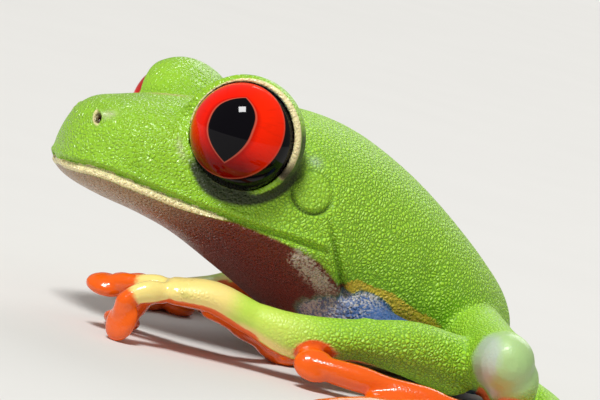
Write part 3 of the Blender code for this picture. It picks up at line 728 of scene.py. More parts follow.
class Limb:
    """Samples of the middle of a limb segment or digit, to measure places by."""

    def __init__(self, points, radii, count=40):
        self.middle = curve_through(points, count)
        self.radius = curve_through(radii, count).mean(1)

    def measure(self, places):
        """Distance from the segment's own surface, and the share along it."""
        gap = np.full(len(places), FAR)
        share = np.zeros(len(places))
        low, high = self.middle.min(0) - LIMB_MARGIN, self.middle.max(0) + LIMB_MARGIN
        near = np.flatnonzero(((places > low) & (places < high)).all(1))
        for start in range(0, len(near), LIMB_BATCH):
            some = near[start:start + LIMB_BATCH]
            away = np.linalg.norm(places[some, None] - self.middle[None], axis=2) - self.radius
            nearest = away.argmin(1)
            gap[some] = away[np.arange(len(some)), nearest]
            share[some] = nearest / (len(self.middle) - 1)
        return gap, share


# ---------------------------------------------------------------- skin

def skin_frame(tree, start, towards):
    """Where a line meets the skin: the place, its normal, and rearward and up along the skin."""
    place, normal, _, _ = tree.ray_cast(start, towards)
    rear = (Vector((1, 0, 0)) - normal * normal.x).normalized()
    up = normal.cross(rear)
    return tuple(np.array(v) for v in (place, normal, rear, up if up.z > 0 else -up))


def eardrum_frames(tree):
    x, z = TYMPANUM_PLACE
    return [skin_frame(tree, Vector((x, 30.0 * side, rolled((x, 8.0, z), side).z)), Vector((0, -side, 0)))
            for side, _ in SIDES]


def nostril_frames(tree):
    x, y, z = NOSTRIL
    frames = []
    for side, _ in SIDES:
        start, target = rolled((x - 6.0, y * 3.2, z + 3.0), side), rolled(NOSTRIL, side)
        frames.append(skin_frame(tree, start, (target - start).normalized()))
    return frames


def polar(away, right, up):
    """Radius and angle of places about a point, seen along the axis that right and up are square to."""
    x, y = away @ right, away @ up
    return np.hypot(x, y), np.arctan2(y, x)


def nostril_oval(away, rear, up):
    """Distance from the nostril's middle, in shares of its own size."""
    return np.hypot(away @ rear / NOSTRIL_SIZE[0], away @ up / NOSTRIL_SIZE[1])


def carve_lips(lift, head, depth):
    """A groove all round the mouth, the upper lip a little proud and the lower one rounded."""
    x, _, z = head.T
    front = np.flatnonzero((x < 8.5) & (z > 6.5) & (z < 12.0))
    gap, _ = distance_to(head[front], mouth_line())
    above = z[front] - mouth_height(x[front])
    groove = -depth * bump(gap, 0.17)
    lip = 0.13 * bump(gap - 0.38, 0.24) * np.where(above > 0, 1.0, 0.6)
    lift[front] += (groove + lip) * step(x[front], 7.6, 6.0)


def carve_folds(lift, head, depth):
    """The fold behind the jaw and the soft hollow of the flank."""
    wide = np.abs(head[:, 1]) > SIDE_START
    gap, along = side_distance(head[wide], NECK_FOLD)
    depth = depth * step(along, 0.0, 0.55)
    lift[wide] += -depth * bump(gap, 0.2) + 0.5 * depth * bump(gap - 0.55, 0.35)
    gap, along = side_distance(head[wide], FLANK_FOLD)
    lift[wide] -= 0.28 * bump(gap, 0.9) * np.sin(np.pi * np.clip(along, 0.05, 0.95))


def carve_eardrum(places, place, normal, rear, up):
    """A groove round the eardrum, deepest below, and the drum a little proud."""
    away = places - place
    radius, turn = polar(away, rear, up)
    near = (np.abs(away @ normal) < 1.6) & (radius < 2.6)
    low = 0.35 + 0.65 * step(np.sin(turn + DRUM_LEAN), 0.5, -0.6)
    push = -0.26 * low * bump(radius - TYMPANUM_RADIUS - 0.05, 0.16) + 0.05 * step(radius, 1.35, 1.1)
    places[near] += normal * push[near, None]


def carve_nostril(places, place, normal, rear, up):
    """A pit with a slightly raised rim."""
    away = places - place
    oval = nostril_oval(away, rear, up)
    near = np.linalg.norm(away, axis=1) < 1.8
    push = 0.13 * bump(oval - 1.5, 0.4) - 0.7 * step(oval, 1.1, 0.5)
    places[near] += normal * push[near, None]


def carve_socket(places, side):
    """A hollow just clear of the eyeball, its edge pushed out square so that it stays smooth."""
    out = np.array(lid_axis(side))
    centre = np.array(eye_centre(side))
    away = places - centre
    height = away @ out
    spoke = away - height[:, None] * out
    distance = np.linalg.norm(away, axis=1)
    socket = EYE_RADIUS + 0.03
    within = (height > -0.4) & (height < 1.5) & (distance < socket)
    edge = within & (distance > socket - 0.3)
    places[edge] = centre + away[edge] * (socket / distance[edge])[:, None]
    floor = within & ~edge
    depth = np.sqrt(np.clip(socket ** 2 - (spoke[floor] ** 2).sum(1), 0.0, None))
    depth = np.minimum(depth, EYE_DEPTH - LID_DEPTH[side] + 0.08)
    places[floor] = centre + spoke[floor] - depth[:, None] * out


def carve(mesh, sizes):
    """Models the lips, folds, eardrums, nostrils and sockets; gives the frames of eardrums and nostrils."""
    places = vertex_rows(mesh)
    normals = vertex_rows(mesh, "normal")
    head = unrolled(places)
    lift = np.zeros(len(places))
    carve_lips(lift, head, sizes.mouth_depth / MM)
    carve_folds(lift, head, sizes.fold_depth / MM)
    places += normals * lift[:, None]

    tree = BVHTree.FromPolygons([Vector(p) for p in places], [tuple(f.vertices) for f in mesh.polygons])
    eardrums, nostrils = eardrum_frames(tree), nostril_frames(tree)
    for frames, carver in ((eardrums, carve_eardrum), (nostrils, carve_nostril)):
        for found in frames:
            carver(places, *found)
    for side, _ in SIDES:
        carve_socket(places, side)
    place_all(mesh, places)
    return eardrums, nostrils


def decimated(made, triangles):
    """Thins the mesh out, the head least."""
    places = vertex_rows(made.data)
    count = sum(len(p.vertices) - 2 for p in made.data.polygons)
    coarse = made.vertex_groups.new(name="coarse")
    fine = step(places[:, 0], 9.0, 5.0) * step(places[:, 2], 5.0, 7.5) > 0.5
    for weight, chosen in ((HEAD_THINNING, fine), (1.0, ~fine)):
        coarse.add(np.flatnonzero(chosen).tolist(), weight, "REPLACE")
    thin = made.modifiers.new("Thin", "DECIMATE")
    thin.ratio = min(1.0, triangles / count)
    thin.use_collapse_triangulate = True
    thin.vertex_group = coarse.name
    thin.vertex_group_factor = 1.0
    apply_modifiers(made)
    made.vertex_groups.clear()


class Painter:
    """Works out how much of each colour and finish every point of the skin takes, from 0 to 1.

    step(measure, none, full) gives the share: 0 where the measure is at none, 1 where it is at full.
    """

    def __init__(self, mesh, sizes):
        self.mesh = mesh
        self.sizes = sizes
        self.places = vertex_rows(mesh)
        self.normals = vertex_rows(mesh, "normal")
        self.head = unrolled(self.places)
        self.masks = {name: np.zeros(len(self.places)) for name in MASKS}
        self.limb = np.zeros(len(self.places))      # which points belong to arms and legs, not to the body

    def add(self, name, values, where=slice(None)):
        """Raises a mask to the given values where they are higher."""
        mask = self.masks[name]
        mask[where] = np.maximum(mask[where], values)

    def limbs(self):
        for side, word in SIDES:
            lit = self.normals @ np.array((0.0, 0.75 * side, 0.66))
            for name, (points, radii) in {**ARMS[word], **LEGS[word]}.items():
                gap, along = Limb(points, radii).measure(self.places)
                own = step(gap, 0.55, 0.15)
                self.limb = np.maximum(self.limb, own)
                for mask, facing_range, along_range in SEGMENT_PAINT[name]:
                    share = step(lit, *facing_range) if facing_range else 1.0
                    self.add(mask, own * share * (step(along, *along_range) if along_range else 1.0))
                if name == "forearm":
                    yellow = FOREARM_YELLOW + 0.4 * step(lit, 0.5, 0.1)
                    self.add("wrist", own * step(lit, -0.35, 0.0) * step(along, 0.4, 0.85) * yellow)
                elif name == "hand":
                    self.add("wrist", own * (FOREARM_YELLOW + (1 - FOREARM_YELLOW) * step(along, 0.08, 0.65)))
            self.digits("finger", FINGERS[word], FINGER_RADIUS, lit)
            self.digits("toe", TOES[word], TOE_RADIUS, lit)

    def digits(self, kind, digits, radius, lit):
        for place, points in enumerate(digits):
            radii = [(radius, radius)] * (len(points) - 1) + [(DISC_SIZE[1], DISC_SIZE[1])]
            gap, along = Limb(points, radii).measure(self.places)
            own = step(gap, 0.75, 0.4)
            self.limb = np.maximum(self.limb, own)
            outer = kind == "finger" and place >= 2
            tip = np.maximum(step(along, 0.5, 0.72), step(lit, 0.1, -0.25)) if outer else 1.0
            self.add("orange", own * tip)
            for mask in ("wrist", "smooth", "wet"):
                self.add(mask, own)

    def knees(self):
        for side, word in SIDES:
            away = np.linalg.norm(self.places - np.array(LEGS[word]["thigh"][0][-1]), axis=1)
            outward = self.normals[:, 1] * side * 0.85 + self.normals[:, 0] * -0.35
            painted_highlight = step(away, 2.9, 2.1) * step(outward, -0.25, 0.15)
            self.add("knee", painted_highlight)
            self.add("lilac_and_painted_reflection", 0.7 * painted_highlight * step(self.normals[:, 0], -0.45, -0.8))
            self.add("smooth", painted_highlight)

    def underside(self):
        """Lip with painted shade along the mouth line, the painted shade under the jaw, flank and belly."""
        x, y, z = self.head.T
        body_part = 1 - self.limb
        rows = section_rows()
        outward = np.abs(y - np.interp(x, rows[:, 0], rows[:, 1]))
        above_widest = z - np.interp(x, rows[:, 0], rows[:, 5])

        front = np.flatnonzero((x < 9.0) & (z < 12.0) & (self.limb < 0.9))
        gap, _ = distance_to(self.head[front], mouth_line())
        below = step(z[front] - mouth_height(x[front]), 0.02, -0.04)
        stripe = 0.08 + 0.5 * step(x[front], 1.8, -4.0)
        lip = step(gap, stripe + 0.06, stripe - 0.06) * step(x[front], 1.4, 0.2) * step(gap, 0.06, 0.14)
        self.add("cream", below * lip, front)
        # Painted shade along the groove between the lips
        self.add("painted_shade", bump(gap, 0.13) * step(x[front], 7.8, 6.6), front)

        edge = np.interp(x, *np.array(GREEN_EDGE).T)
        under = z - np.where(x < 0.0, mouth_height(x) - 0.05, edge)
        # Painted shade under the jaw, lighter towards the chin
        self.add("shaded_throat", step(under, 0.05, -0.15) * body_part * (1 - self.masks["cream"]))
        self.add("chin", step(x, 0.5, -7.0))
        over = z - edge
        flank = body_part * step(x, 8.6, 9.4) * step(outward, 3.0, 5.0)
        self.add("ochre", flank * step(over, 0.3, 0.1) * step(over, -1.3, -0.9))
        self.add("blue", flank * step(over, -0.9, -1.3) * step(over, -4.5, -3.5))
        gap, _ = side_distance(self.head, FLECKED_LINE)
        self.add("fleck", body_part * step(gap, 1.1, 0.2) * step(np.abs(y), 5.5, 6.5))
        self.add("belly", body_part * step(z, 4.0, 2.5) * step(x, 6.0, 12.0) * step(above_widest, -1.0, -2.5))

    def lids(self):
        for side, _ in SIDES:
            out, up, rear = (np.array(v) for v in lid_frame(side))
            away = self.places - np.array(eye_centre(side))
            height = away @ out
            radius, turn = polar(away, rear, up)
            sine, cosine = np.sin(turn), np.cos(turn)
            distance = np.linalg.norm(away, axis=1)
            across, level, thick = rim_place(side, turn, self.sizes.rim_thickness / MM)
            ring = np.hypot(radius - across, height - level) - thick
            on_rim = step(ring, 0.10, 0.02) * step(height - level, -0.45, -0.15)
            from_inside = radius - (across - thick)

            # The rim: cream, with a painted bluish reflection along its inner edge above and behind, painted
            # shade on its lower part, and green along its lowest part
            width = 0.17 + 0.35 * step(np.cos(turn - 0.2), -0.7, 1.0)
            tilted = sine + 0.11 * cosine
            above_behind = bump(turn - math.radians(62), math.radians(34))
            rim_painted_reflection = on_rim * above_behind * step(from_inside, 0.26, 0.12)
            self.add("lilac_and_painted_reflection", rim_painted_reflection)
            cream = on_rim * step(from_inside, width + 0.06, width - 0.04) * step(tilted, -0.48, -0.36)
            cream = cream * (1 - rim_painted_reflection)
            self.add("cream", cream)
            # Painted shade on the rim's lower part
            self.add("painted_shade", 0.45 * cream * step(sine, 0.1, -0.45))

            # The painted shade of the lower lid, less along a painted highlight line on its rim, the painted
            # shade behind the eye, and a painted highlight in front of it
            reach = 4.68 - 0.5 * step(cosine, -0.2, -0.8)
            lid = step(distance, reach + 0.14, reach - 0.14) * step(height, -2.6, -1.4)
            low = step(sine - 0.25 * cosine, -0.3, -0.62)
            edge_light = on_rim * step(tilted, -0.36, -0.48) * step(cosine, 0.3, 0.6)
            self.add("smooth", 0.4 * lid)
            self.add("painted_shade", 0.97 * lid * low * (1 - 0.9 * edge_light))
            behind = step(cosine, 0.75, 0.93) * step(sine, 0.5, 0.2) * (1 - cream)
            self.add("painted_shade", 0.88 * step(distance, 5.1, 4.5) * step(height, -3.0, -1.6) * behind)
            # Painted highlight beside the lid, in front of the eye
            lid_painted_highlight = bump(cosine + 0.87, 0.1) * step(sine, -0.2, -0.32) * bump(distance - 4.35, 0.22)
            self.add("painted_highlight", 0.45 * lid_painted_highlight)

    def eardrum(self, place, normal, rear, up):
        away = self.places - place
        radius, turn = polar(away, rear, up)
        low = 0.25 + 0.75 * step(np.sin(turn + DRUM_LEAN), 0.3, -0.6)
        near = step(np.abs(away @ normal), 1.7, 1.2)
        # Painted shadow in the groove round the drum, deepest below
        self.add("painted_shade", 0.75 * near * low * bump(radius - TYMPANUM_RADIUS - 0.05, 0.12))
        within = near * step(radius, TYMPANUM_RADIUS, TYMPANUM_RADIUS - 0.2)
        self.add("smooth", 0.3 * within)
        # A little painted shade over the whole drum
        self.add("painted_shade", 0.16 * within)

    def nostril(self, place, rear, up):
        away = self.places - place
        near = step(np.linalg.norm(away, axis=1), 2.0, 1.6)
        oval = nostril_oval(away, rear, up)
        self.add("cream", 0.7 * near * step(oval, 2.0, 1.4) * step(away @ rear, 0.3, -0.1))
        # A painted sheen just behind the nostril
        nostril_painted_sheen = np.hypot((away @ rear - 0.75) / 0.6, away @ up / 0.4)
        self.add("painted_highlight", 0.6 * near * bump(nostril_painted_sheen, 0.9))
        # The nostril's inside: painted shade
        self.add("nostril", near * step(oval, 1.25, 0.85))

    def marks(self):
        """The painted shade along the fold behind the jaw, the crease on the crown, the spots behind the eyes
        and the moist head.
        """
        x, y, z = self.head.T
        wide = np.abs(y) > SIDE_START
        gap, along = side_distance(self.head[wide], NECK_FOLD)
        # Painted shade along the fold behind the jaw
        self.add("painted_shade", 0.4 * bump(gap, 0.16) * step(along, 0.0, 0.5), wide)
        crown = np.flatnonzero((z > 14.6) & (x < 0.0))
        seen_from_above = np.column_stack([self.head[crown, :2], np.zeros(len(crown))])
        crease = np.column_stack([curve_through(CROWN_CREASE, 40), np.zeros(40)])
        gap, along = distance_to(seen_from_above, crease)
        self.add("pink", 0.9 * bump(gap, 0.7) * np.sin(np.pi * np.clip(along, 0.02, 0.98)), crown)
        for side, _ in SIDES:
            spot = (self.head - np.array(PALE_SPOT) * (1, side, 1)) / PALE_SPOT_SIZE
            self.add("lilac_and_painted_reflection", 0.45 * bump(np.linalg.norm(spot, axis=1), 0.9))
        self.add("wet", step(x, 4.0, -1.0) * (1 - self.limb))

    def store(self):
        for name, values in self.masks.items():
            data = self.mesh.attributes.new(name, "FLOAT", "POINT").data
            data.foreach_set("value", np.clip(values, 0, 1).astype(np.float32))


def paint(mesh, sizes, eardrums, nostrils):
    """Stores the share of each colour as attributes of the mesh, which the material reads."""
    painter = Painter(mesh, sizes)
    painter.limbs()
    painter.knees()
    painter.underside()
    painter.lids()
    for found in eardrums:
        painter.eardrum(*found)
    for place, _, rear, up in nostrils:
        painter.nostril(place, rear, up)
    painter.marks()
    painter.store()


# ---------------------------------------------------------------- materials

def arithmetic(operation, swapped=False):
    """A method of Signal that adds one Math node; swapped when the signal is the second operand."""
    def apply(self, other):
        return self.math(operation, other, self) if swapped else self.math(operation, self, other)
    return apply


class Signal:
    """An output socket, on which arithmetic adds Math nodes."""

    def __init__(self, nodes, socket):
        self.nodes = nodes
        self.socket = socket

    def math(self, operation, *values):
        return self.nodes.add("ShaderNodeMath", {"operation": operation}, dict(enumerate(values)))

    __add__ = __radd__ = arithmetic("ADD")
    __mul__ = __rmul__ = arithmetic("MULTIPLY")
    __sub__ = arithmetic("SUBTRACT")
    __rsub__ = arithmetic("SUBTRACT", swapped=True)
    __truediv__ = arithmetic("DIVIDE")

    def __abs__(self):
        return self.math("ABSOLUTE", self)

    def clamped(self, low, high):
        """0 below low and 1 above high, smoothly between; low may be the larger number."""
        settings = {"interpolation_type": "SMOOTHSTEP"}
        values = {"Value": self, "From Min": low, "From Max": high}
        return self.nodes.add("ShaderNodeMapRange", settings, values)


class Nodes:
    """A material's node tree, with one method that adds every kind of node."""

    def __init__(self, name):
        self.material = bpy.data.materials.new(name)
        self.material.use_nodes = True
        self.tree = self.material.node_tree
        self.shader = self.tree.nodes["Principled BSDF"]

    def connect(self, socket, value):
        if isinstance(value, Signal):
            self.tree.links.new(value.socket, socket)
        elif hasattr(value, "__len__") and len(value) == 3 and socket.type == "RGBA":
            socket.default_value = (*value, 1.0)
        else:
            socket.default_value = value

    def add(self, kind, settings=None, values=None, output=0):
        """Adds a node; inputs and the output go by number, identifier or name."""
        node = self.tree.nodes.new(kind)
        for key, value in (settings or {}).items():
            setattr(node, key, value)
        for key, value in (values or {}).items():
            if isinstance(key, int):
                socket = node.inputs[key]
            else:
                socket = next((s for s in node.inputs if s.identifier == key), None) or node.inputs[key]
            self.connect(socket, value)
        if isinstance(output, int):
            return Signal(self, node.outputs[output])
        return Signal(self, next(s for s in node.outputs if output in (s.identifier, s.name)))

    def mixed(self, first, second, share, blend="MIX"):
        """Two colours mixed; share is 0 for the first and 1 for the second."""
        settings = {"data_type": "RGBA", "blend_type": blend}
        values = {"Factor_Float": share, "A_Color": first, "B_Color": second}
        return self.add("ShaderNodeMix", settings, values, "Result_Color")

    def layered(self, base, layers):
        """Colours laid over a base one after the other, each with its share."""
        for tint, share in layers:
            base = self.mixed(base, tint, share)
        return base

    def vector(self, operation, values):
        return self.add("ShaderNodeVectorMath", {"operation": operation}, values, "Vector")

    def noise(self, where, scale, detail, output="Fac", dimensions="3D"):
        values = {"Vector": where, "Scale": scale, "Detail": detail}
        return self.add("ShaderNodeTexNoise", {"noise_dimensions": dimensions}, values, output)

    def cells(self, where, scale, feature="SMOOTH_F1", **more):
        values = {"Vector": where, "Scale": scale, **more}
        return self.add("ShaderNodeTexVoronoi", {"feature": feature}, values, "Distance")

    def attribute(self, name):
        return self.add("ShaderNodeAttribute", {"attribute_name": name}, output="Fac")

    def object_places(self):
        return self.add("ShaderNodeTexCoord", output="Object")

    def finish(self, **inputs):
        for key, value in inputs.items():
            self.connect(self.shader.inputs[key.replace("_", " ")], value)
        return self.material


def skin_material(sizes, colours):
    n = Nodes("frog_skin")
    where = n.object_places()
    masks = {name: n.attribute(name) for name in MASKS}
    rough_skin = 1 - masks["smooth"]
    broad = n.noise(where, BROAD_NOISE, 3.0)
    fine = n.noise(where, FINE_NOISE, 2.0)
    mottle = (fine + broad).clamped(0.85, 1.15)

    # Granules: rounded cells, bent a little by noise, with smaller ones on top
    bend = n.vector("SCALE", {0: n.noise(where, BEND_NOISE, 1.0, "Color"), "Scale": BEND})
    bent = n.vector("ADD", {0: where, 1: bend})
    cells = n.cells(bent, 1.0 / sizes.granule, Smoothness=0.35)
    small = n.cells(bent, 2.1 / sizes.granule, Smoothness=0.3)
    edges = n.cells(bent, 1.0 / sizes.granule, "DISTANCE_TO_EDGE")

    # Granule tops lighter: painted highlight; granule gaps and the moist head deeper green: painted shade;
    # with broad patches of deeper tone
    green = n.mixed(colours.back_highlight, colours.back, cells.clamped(0.0, 0.4) * 0.5 + 0.5)
    gap_painted_shade = edges.clamped(0.16, 0.02) * rough_skin * (0.28 + 0.55 * (1 - masks["wet"]))
    green = n.layered(green, [(colours.back_deep_and_shade, share) for share in
                              (gap_painted_shade, broad.clamped(0.52, 0.75) * 0.2, masks["wet"] * 0.3)])
    # Painted shade under the jaw, mixed lighter towards the chin
    shaded_throat = n.mixed(colours.shaded_throat, colours.cream, masks["chin"] * 0.3)
    wrist = (masks["wrist"] + 0.3 * (broad - 0.5)).clamped(0.15, 0.8) * masks["wrist"].clamped(0.0, 0.1)
    base = n.layered(green, (
        (shaded_throat, masks["shaded_throat"]),
        (colours.cream, masks["belly"]),
        (colours.blue, masks["blue"]),
        (colours.fleck, (masks["fleck"] + 0.7 * (mottle - 0.6)).clamped(0.25, 1.2) * 0.7),
        (colours.ochre, (masks["ochre"] * (0.7 + 0.6 * mottle)).clamped(0.3, 0.7)),
        (colours.wrist, wrist),
        (colours.orange, (masks["orange"] + 0.3 * (fine - 0.5)).clamped(0.2, 0.8)),
        (colours.knee, masks["knee"] * 0.85),
        # This colour, and the painted reflection on the lids' rims
        (colours.lilac_and_painted_reflection, masks["lilac_and_painted_reflection"] * 0.8),
        # Painted highlights beside the lids and behind the nostrils
        (colours.fleck, masks["painted_highlight"] * (0.5 + 0.5 * mottle)),
        (colours.crease, masks["pink"] * (0.5 + 0.5 * mottle)),
        (colours.cream, (masks["cream"] + 0.2 * (fine - 0.5)).clamped(0.2, 0.8)),
        # Painted shade inside the nostrils
        (colours.nostril, masks["nostril"]),
    ))
    # Painted shade: the colours go towards SHADE where the shade mask is high
    base = n.mixed(base, n.mixed((1.0, 1.0, 1.0), SHADE, masks["painted_shade"]), 1.0, "MULTIPLY")

    height = edges.clamped(0.0, 0.42) * 0.6 + (1 - cells) * 0.25 + (1 - small) * 0.15
    height = height * (0.06 + 0.94 * rough_skin) + fine * 0.1
    surface = n.add("ShaderNodeBump", {}, {"Strength": 1.0, "Distance": GRANULE_RISE, "Height": height},
                    "Normal")
    roughness = 0.52 - 0.26 * masks["wet"] - 0.1 * masks["smooth"] + 0.3 * masks["painted_shade"] + 0.1 * (fine - 0.5)
    n.shader.subsurface_method = "RANDOM_WALK"
    return n.finish(Base_Color=base, Roughness=roughness, Normal=surface, Coat_Weight=0.15 * masks["smooth"],
                    Coat_Roughness=0.2, Subsurface_Weight=0.1, Subsurface_Scale=0.4 * MM,
                    Subsurface_Radius=(1.0, 0.6, 0.2), Specular_IOR_Level=0.62)


def eye_material(word, centre, axes, sizes, colours):
    """A red iris with a standing pupil, worked out from the angle to the eye's own axis."""
    n = Nodes("frog_eye_" + word)
    turn = Matrix(axes).to_euler("XYZ")
    moved = n.vector("SUBTRACT", {0: n.object_places(), 1: centre})
    turned = n.add("ShaderNodeMapping", {"vector_type": "POINT"}, {"Vector": moved, "Rotation": turn},
                   "Vector")
    local = n.vector("NORMALIZE", {0: turned})
    split = n.add("ShaderNodeSeparateXYZ", {}, {0: local}, "X").socket.node
    rear, up, out = (Signal(n, split.outputs[k]) for k in range(3))

    # Angles from the eye's axis, in all, rearward and up
    off_axis = out.math("ARCCOSINE", out)
    spread = rear.math("SQRT", rear * rear + up * up + 1e-6)
    across = off_axis * rear / spread
    along = off_axis * up / spread

    # How far inside the pupil's edge: two arcs that lean rearward, blunter above than below
    rise = along + sizes.pupil_drop
    share = rise / sizes.pupil_height
    upper = share.math("MAXIMUM", share, 0.0)
    half = sizes.pupil_width * (1 - share * share + 1.2 * upper * upper * (1 - upper))
    inside = half - abs(across - sizes.pupil_back - sizes.pupil_bend * rise * rise)

    fan = n.add("ShaderNodeCombineXYZ", {}, {0: rear.math("ARCTAN2", along, across) * 9.0, 1: off_axis * 1.6},
                "Vector")
    streaks = n.noise(fan, 1.3, 4.0, dimensions="2D")
    rim = sizes.iris_angle
    # Painted refraction at the iris's front edge, where the cornea's edge bends it
    refraction_share = off_axis.clamped(rim - 0.3, rim - 0.02) * (0.0 - across).clamped(0.55, 0.95) * 0.8
    base = n.layered(colours.iris, (
        (colours.iris_low, (0.0 - along).clamped(0.1, 0.95)),
        (colours.iris_bright, (across + 0.5 * along).clamped(0.05, 0.9) * 0.75),
        (colours.iris_low, streaks.clamped(0.5, 0.85) * 0.14),
        (colours.iris_front_refraction, refraction_share),
        (colours.iris_low, inside.clamped(-0.16, -0.03) * 0.45),
        (colours.iris_line, inside.clamped(-0.05, -0.02) * 0.7),
        (colours.iris_line, off_axis.clamped(rim - 0.045, rim - 0.02) * 0.45),
        (colours.black, inside.clamped(-0.012, 0.012)),
        (colours.black, off_axis.clamped(rim - 0.012, rim + 0.012)),
    ))
    return n.finish(Base_Color=base, Roughness=0.3, Coat_Weight=1.0, Coat_Roughness=0.012, Coat_IOR=1.25,
                    Specular_IOR_Level=0.0)


def floor_material(stage):
    n = Nodes("stage_floor")
    grain = n.noise(n.object_places(), 60.0, 3.0)
    tint = n.mixed(stage.floor, tuple(0.96 * c for c in stage.floor), grain)
    return n.finish(Base_Color=tint, Roughness=0.75)


# ---------------------------------------------------------------- pieces

def frame_shift():
    """From the frog's own frame to that of the solids, in millimetres, found from the left eye's node."""
    low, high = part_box("eye_left")
    front, outer, top = low.x / MM + EYE_RADIUS, low.y / MM + EYE_RADIUS, high.z / MM - EYE_RADIUS
    return Vector((front, outer, top)) - eye_centre(-1)


def to_frame(mesh):
    """Moves a finished piece to the frame of the solids, with smooth shading."""
    place_all(mesh, (vertex_rows(mesh) + np.array(frame_shift())) * MM)
    mesh.polygons.foreach_set("use_smooth", [True] * len(mesh.polygons))


def solids_limits():
    """The lowest and the highest corner of all the solids together, in the frog's own frame."""
    corners = np.array([[tuple(corner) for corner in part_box(name)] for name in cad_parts]) / MM
    shift = np.array(frame_shift())
    return corners[:, 0].min(0) - shift, corners[:, 1].max(0) - shift


def flesh_nodes():
    return [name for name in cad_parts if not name.startswith("eye_")]


class FROG_OT_skin(bpy.types.Operator):
    """Make the skin that covers head, body, arms and legs"""
    bl_idname = "frog.skin"
    bl_label = "Skin"

    def execute(self, context):
        sizes, colours = context.scene.frog_sizes, context.scene.frog_colours
        thickest = sizes.rim_thickness / MM
        shells = [body()] + limb_shells()
        for side, _ in SIDES:
            shells += [eye_bulge(side), lid_rim(side, thickest)]
        skin = joined("skin", shells)
        merge = skin.modifiers.new("Merge", "REMESH")
        merge.mode = "VOXEL"
        merge.voxel_size = sizes.skin_detail / MM
        apply_modifiers(skin)
        relax(skin.data, RELAX_ROUNDS[0])
        fill_creases(skin.data, CREASE_ROUNDS)
        relax(skin.data, RELAX_ROUNDS[1])
        eardrums, nostrils = carve(skin.data, sizes)
        inset = vertex_rows(skin.data, "normal") * sizes.coat_depth / MM
        place_all(skin.data, vertex_rows(skin.data) - inset)
        decimated(skin, sizes.skin_triangles)
        place_all(skin.data, np.clip(vertex_rows(skin.data), *solids_limits()))
        paint(skin.data, sizes, eardrums, nostrils)
        to_frame(skin.data)
        skin.data.materials.clear()
        skin.data.materials.append(skin_material(sizes, colours))
        if not skin.data.polygons:
            raise RuntimeError("the skin came out empty")
        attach(skin, "root")
        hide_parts(*flesh_nodes())
        return {"FINISHED"}


class FROG_OT_eyes(bpy.types.Operator):
    """Make both eyeballs, with iris and pupil"""
    bl_idname = "frog.eyes"
    bl_label = "Eyes"

    def execute(self, context):
        sizes, colours = context.scene.frog_sizes, context.scene.frog_colours
        for side, word in SIDES:
            out = facing(sizes.gaze_forward, sizes.gaze_up, side)
            up, rear = across_axis(out, side)
            bm = bmesh.new()
            bmesh.ops.create_uvsphere(bm, u_segments=128, v_segments=64, radius=EYE_RADIUS)
            turn = Matrix((rear, up, out)).transposed().to_4x4()
            bmesh.ops.transform(bm, matrix=Matrix.Translation(eye_centre(side)) @ turn, verts=bm.verts)
            behind = eye_centre(side) + lid_axis(side) * (LID_DEPTH[side] - EYE_DEPTH)
            cut_flat(bm, behind, -lid_axis(side))
            eye = new_object("eyeball_" + word, bm)
            to_frame(eye.data)
            centre = (eye_centre(side) + frame_shift()) * MM
            eye.data.materials.append(eye_material(word, centre, (rear, up, out), sizes, colours))
            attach(eye, "root")
            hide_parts("eye_" + word)
        return {"FINISHED"}


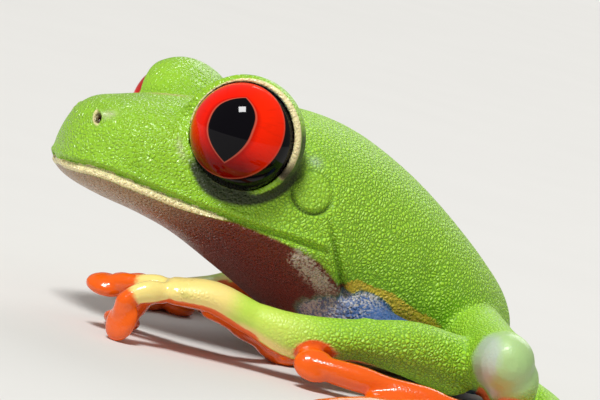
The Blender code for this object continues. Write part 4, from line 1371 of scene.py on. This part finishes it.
class FROG_OT_stage(bpy.types.Operator):
    """Make the floor, the lights and the camera"""
    bl_idname = "frog.stage"
    bl_label = "Stage"

    def execute(self, context):
        scene = context.scene
        stage = scene.frog_stage
        bm = bmesh.new()
        bmesh.ops.create_grid(bm, x_segments=2, y_segments=2, size=FLOOR_REACH)
        floor = new_object("floor", bm)
        floor.data.materials.append(floor_material(stage))

        turn, rise, roll = stage.camera_turn, stage.camera_rise, stage.camera_roll
        back = Vector((-math.sin(turn) * math.cos(rise), -math.cos(turn) * math.cos(rise), math.sin(rise)))
        level = (-back).cross(UP).normalized()
        upright = level.cross(-back)
        right = level * math.cos(roll) + upright * math.sin(roll)
        up = upright * math.cos(roll) - level * math.sin(roll)
        eye = (Vector(CAMERA_TARGET) + frame_shift()) * MM
        camera = bpy.data.objects.new("camera", bpy.data.cameras.new("camera"))
        scene.collection.objects.link(camera)
        camera.data.lens = stage.lens
        camera.data.clip_start, camera.data.clip_end = 0.01, 20.0
        aim = eye + right * (CAMERA_ASIDE[0] * MM) + up * (CAMERA_ASIDE[1] * MM)
        place = aim + back * stage.camera_distance
        camera.matrix_world = Matrix.Translation(place) @ Matrix((right, up, back)).transposed().to_4x4()
        scene.camera = camera

        lamps = {name: self.light(scene, name, power, eye, (back, up, right)) for name, power in
                 (("key", stage.key_power), ("rear", stage.rim_power), ("fill", stage.fill_power))}
        lamps["fill"].visible_glossy = False
        world = bpy.data.worlds.new("surroundings")
        world.use_nodes = True
        background = world.node_tree.nodes["Background"]
        background.inputs["Color"].default_value = (*stage.sky, 1.0)
        background.inputs["Strength"].default_value = stage.sky_strength
        scene.world = world
        scene.view_settings.view_transform = "Standard"
        return {"FINISHED"}

    @staticmethod
    def light(scene, name, power, target, axes):
        """A square soft light that faces the frog; axes are the camera's back, up and right."""
        parts, distance, size = LIGHTS[name]
        lamp = bpy.data.lights.new(name, "AREA")
        lamp.size = size
        lamp.energy = power
        made = bpy.data.objects.new(name, lamp)
        scene.collection.objects.link(made)
        away = sum((axis * share for axis, share in zip(axes, parts)), Vector()).normalized()
        right = axes[2]
        across = (right - away * right.dot(away)).normalized()
        turn = Matrix((across, away.cross(across), away)).transposed().to_4x4()
        made.matrix_world = Matrix.Translation(target + away * distance) @ turn
        return made


class FROG_PT_panel(bpy.types.Panel):
    bl_label = "Tree frog"
    bl_idname = "FROG_PT_panel"
    bl_space_type = "VIEW_3D"
    bl_region_type = "UI"
    bl_category = "Tree frog"

    def draw(self, context):
        for operator in (FROG_OT_skin, FROG_OT_eyes, FROG_OT_stage):
            self.layout.operator(operator.bl_idname)
        for group in (context.scene.frog_sizes, context.scene.frog_colours, context.scene.frog_stage):
            box = self.layout.box()
            for name in group.__annotations__:
                box.prop(group, name)


CLASSES = (FrogSizes, FrogColours, FrogStage, FROG_OT_skin, FROG_OT_eyes, FROG_OT_stage, FROG_PT_panel)


def register():
    for made in CLASSES:
        bpy.utils.register_class(made)
    bpy.types.Scene.frog_sizes = PointerProperty(type=FrogSizes)
    bpy.types.Scene.frog_colours = PointerProperty(type=FrogColours)
    bpy.types.Scene.frog_stage = PointerProperty(type=FrogStage)


def unregister():
    for name in ("frog_sizes", "frog_colours", "frog_stage"):
        delattr(bpy.types.Scene, name)
    for made in reversed(CLASSES):
        bpy.utils.unregister_class(made)


def main():
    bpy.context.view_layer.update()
    register()
    bpy.ops.frog.skin()
    bpy.ops.frog.eyes()
    bpy.ops.frog.stage()


if __name__ == "__main__":
    main()
